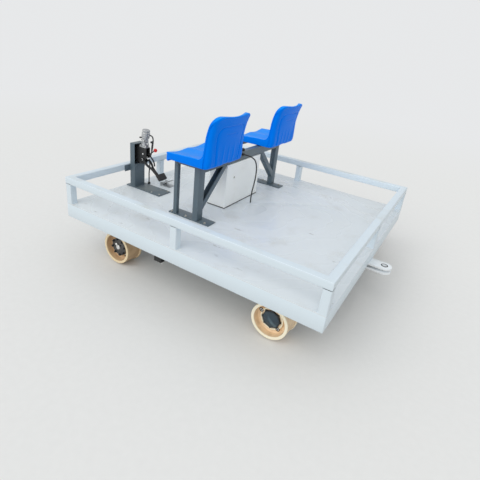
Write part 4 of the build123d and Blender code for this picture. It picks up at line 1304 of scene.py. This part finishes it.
# %% Black parts: the bent lever, the bracket's block, fittings and a pipe
black = Shape()
lever = flowing([(-826, -300, 722), (-812, -300, 712), (-793, -300, 697), (-774, -300, 677), (-764, -300, 656),
                 (-760, -300, 636)], 28)
black.bent(lever, rectangle(-3, -6, 3, 6, 2, 3))
black.block((-846, -309, 700), (-816, -297, 740))
black.turned((-822, -353, 838), near, [(-8, 8), (2, 8), (2.6, 7)], 24)
black.turned((-876, -349, 858), (0.9, 0.2, 0.1), [(0, 7), (20, 7)], 6)
black.turned((-872, pedal_y, 838), (1, 0, 0), [(0, 5), (14, 5)], 6)
black.block((-890, -350, 655), (-842, -316, foot.z))
black.turned((-760, pedal_y, 841), near, [(-11, 8), (11, 8), (12, 7)], 24)
pipe = flowing([(-764, -322, 842), (-772, -320, 815), (-776, -320, 780), (-778, -319, 745), (-790, -318, 716),
                (-806, -316, 704)], 36)
black.bent(pipe, circle(4, 12))
black.made("pedal_black_parts", "black_metal", smooth=35)

# %% The pedal's two arms, on their pivot
pivot = (-834, pedal_y, 688)
arms = Shape().turned(pivot, (0, 1, 0), [(-38, 6), (-37, 7), (37, 7), (38, 6)], 32)
# columns: along the trolley, out from the pedal's middle, height
arm = [(-834, 27, 688), (-806, 27, 667), (-782, 24, 648), (-752, 9, 625), (-704, 5, 588), (-668, 5, 562)]
for side in (-1, 1):
    path = flowing([(x, pedal_y + side * y, z) for x, y, z in arm], 40)
    arms.bent(path, rectangle(-4, -10, 4, 10, 2, 3))
    arms.turned((pivot[0], pedal_y + side * arm[0][1], pivot[2]), (0, 1, 0),
                [(-4.5, 12), (-3.5, 13), (3.5, 13), (4.5, 12)], 40)
print("arms:", len(arms.faces), "faces")

# %% The pad's steel back and its ribbed rubber
pad_face, pad_down, pad_out = Vector((-645, pedal_y, 588)), Vector((0.68, 0, -0.73)), Vector((0.73, 0, 0.68))


def pad_ring(half_wide, half_long, depth, corner):
    """A rounded outline of the pad, at a depth below its face."""
    outline = rectangle(-half_wide, -half_long, half_wide, half_long, corner, 5)
    return [pad_face - pad_out * depth + Vector((0, across, 0)) + pad_down * down for across, down in outline]


arms.loft([pad_ring(34, 20, depth, 4) for depth in (26, 21)])
arms.made("brake_pedal_arms", "black_metal", smooth=35, replaces=["brake_pedal"])
pad = Shape().loft([pad_ring(39, 24, 22, 6), pad_ring(42, 27, 20, 8), pad_ring(42, 27, 4, 8),
                    pad_ring(40.5, 25.5, 1.5, 8), pad_ring(37, 22, 0.5, 7)])
for down in (-18, -10.8, -3.6, 3.6, 10.8, 18):
    rib = pad_face - pad_out * 1.2 + pad_down * down
    pad.bent([rib + Vector((0, across, 0)) for across in (-35, 0, 35)], circle(2.4, 10))
pad.made("ribbed_pedal_pad", "black_rubber", smooth=35, replaces=["brake_pedal_pad"])

# %% The accelerator's ribs and stop
tilt = radians(24)
ahead, above = Vector((cos(tilt), 0, sin(tilt))), Vector((-sin(tilt), 0, cos(tilt)))
heel = Vector((-791, middle("accelerator_treadle")[1], 453)) + above * 4.2
tread_ribs = Shape()
for share in steps(14, 84, 7):
    rib = heel + ahead * share
    tread_ribs.bent([rib + Vector((0, across, 0)) for across in (-22, 0, 22)], circle(2.2, 10))
tread_ribs.turned((-806, -161, deck_top), upwards, [(0, 9), (8, 9), (11, 7), (12, 3)], 32)
tread_ribs.made("accelerator_ribs", "black_rubber", smooth=35)

# %% [markdown]
# ## Cables and hoses
#
# A cable hangs in one smooth curve, whose control points are the corners of the route that the solid
# tube follows. A curve with a round bevel is enough, and it needs no mesh of its own.

# %% One maker for the three lines
line_diameter = 0.010


def line(name, node, length, route):
    """A black rubber line along a route, in place of its solid. Its length is in metres."""
    curve = bpy.data.curves.new(name, "CURVE")
    curve.dimensions = "3D"
    curve.bevel_depth = line_diameter / 2
    curve.bevel_resolution = 5
    curve.resolution_u = 16
    curve.use_fill_caps = True
    spline = curve.splines.new("NURBS")
    spline.points.add(len(route) - 1)
    for point, place in zip(spline.points, route):
        point.co = (*spot(*place), 1)
    spline.order_u = 3
    spline.use_endpoint_u = True
    curve.materials.append(paints["black_rubber"])
    made = bpy.data.objects.new(name, curve)
    bpy.context.scene.collection.objects.link(made)
    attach(made, "chassis")
    tuple(spot(*route[0]))
    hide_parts(node)
    print(name, length, "m")


# %% The box's cable, the brake's hose and the pot's feed
line("power_cable", "cable", 0.501, [
    (-106, -12, 838), (-79, -12, 838), (-54, -7, 834), (-38, 6, 825), (-29, 25, 810), (-27, 48, 785),
    (-29, 71, 748), (-32, 87, 700), (-36, 91, 645), (-38, 84, 589), (-39, 68, 536), (-39, 60, 484),
    (-39, 62, 430),
])
line("brake_line", "brake_hose", 0.283, [
    (-870, -311, 680), (-870, -281, 680), (-871, -255, 668), (-874, -238, 642), (-879, -231, 606),
    (-885, -229, 566), (-889, -230, 526), (-887, -230, 488), (-887, -230, 449),
])
line("feed_line", "feed_hose", 0.220, [
    (-787.9, -333, 890.5), (-766, -333, 890), (-750, -335, 880), (-741, -340, 857), (-740, -345, 824),
    (-744, -346, 790), (-754, -343, 758), (-774, -336, 737), (-801.1, -333, 735.7),
])
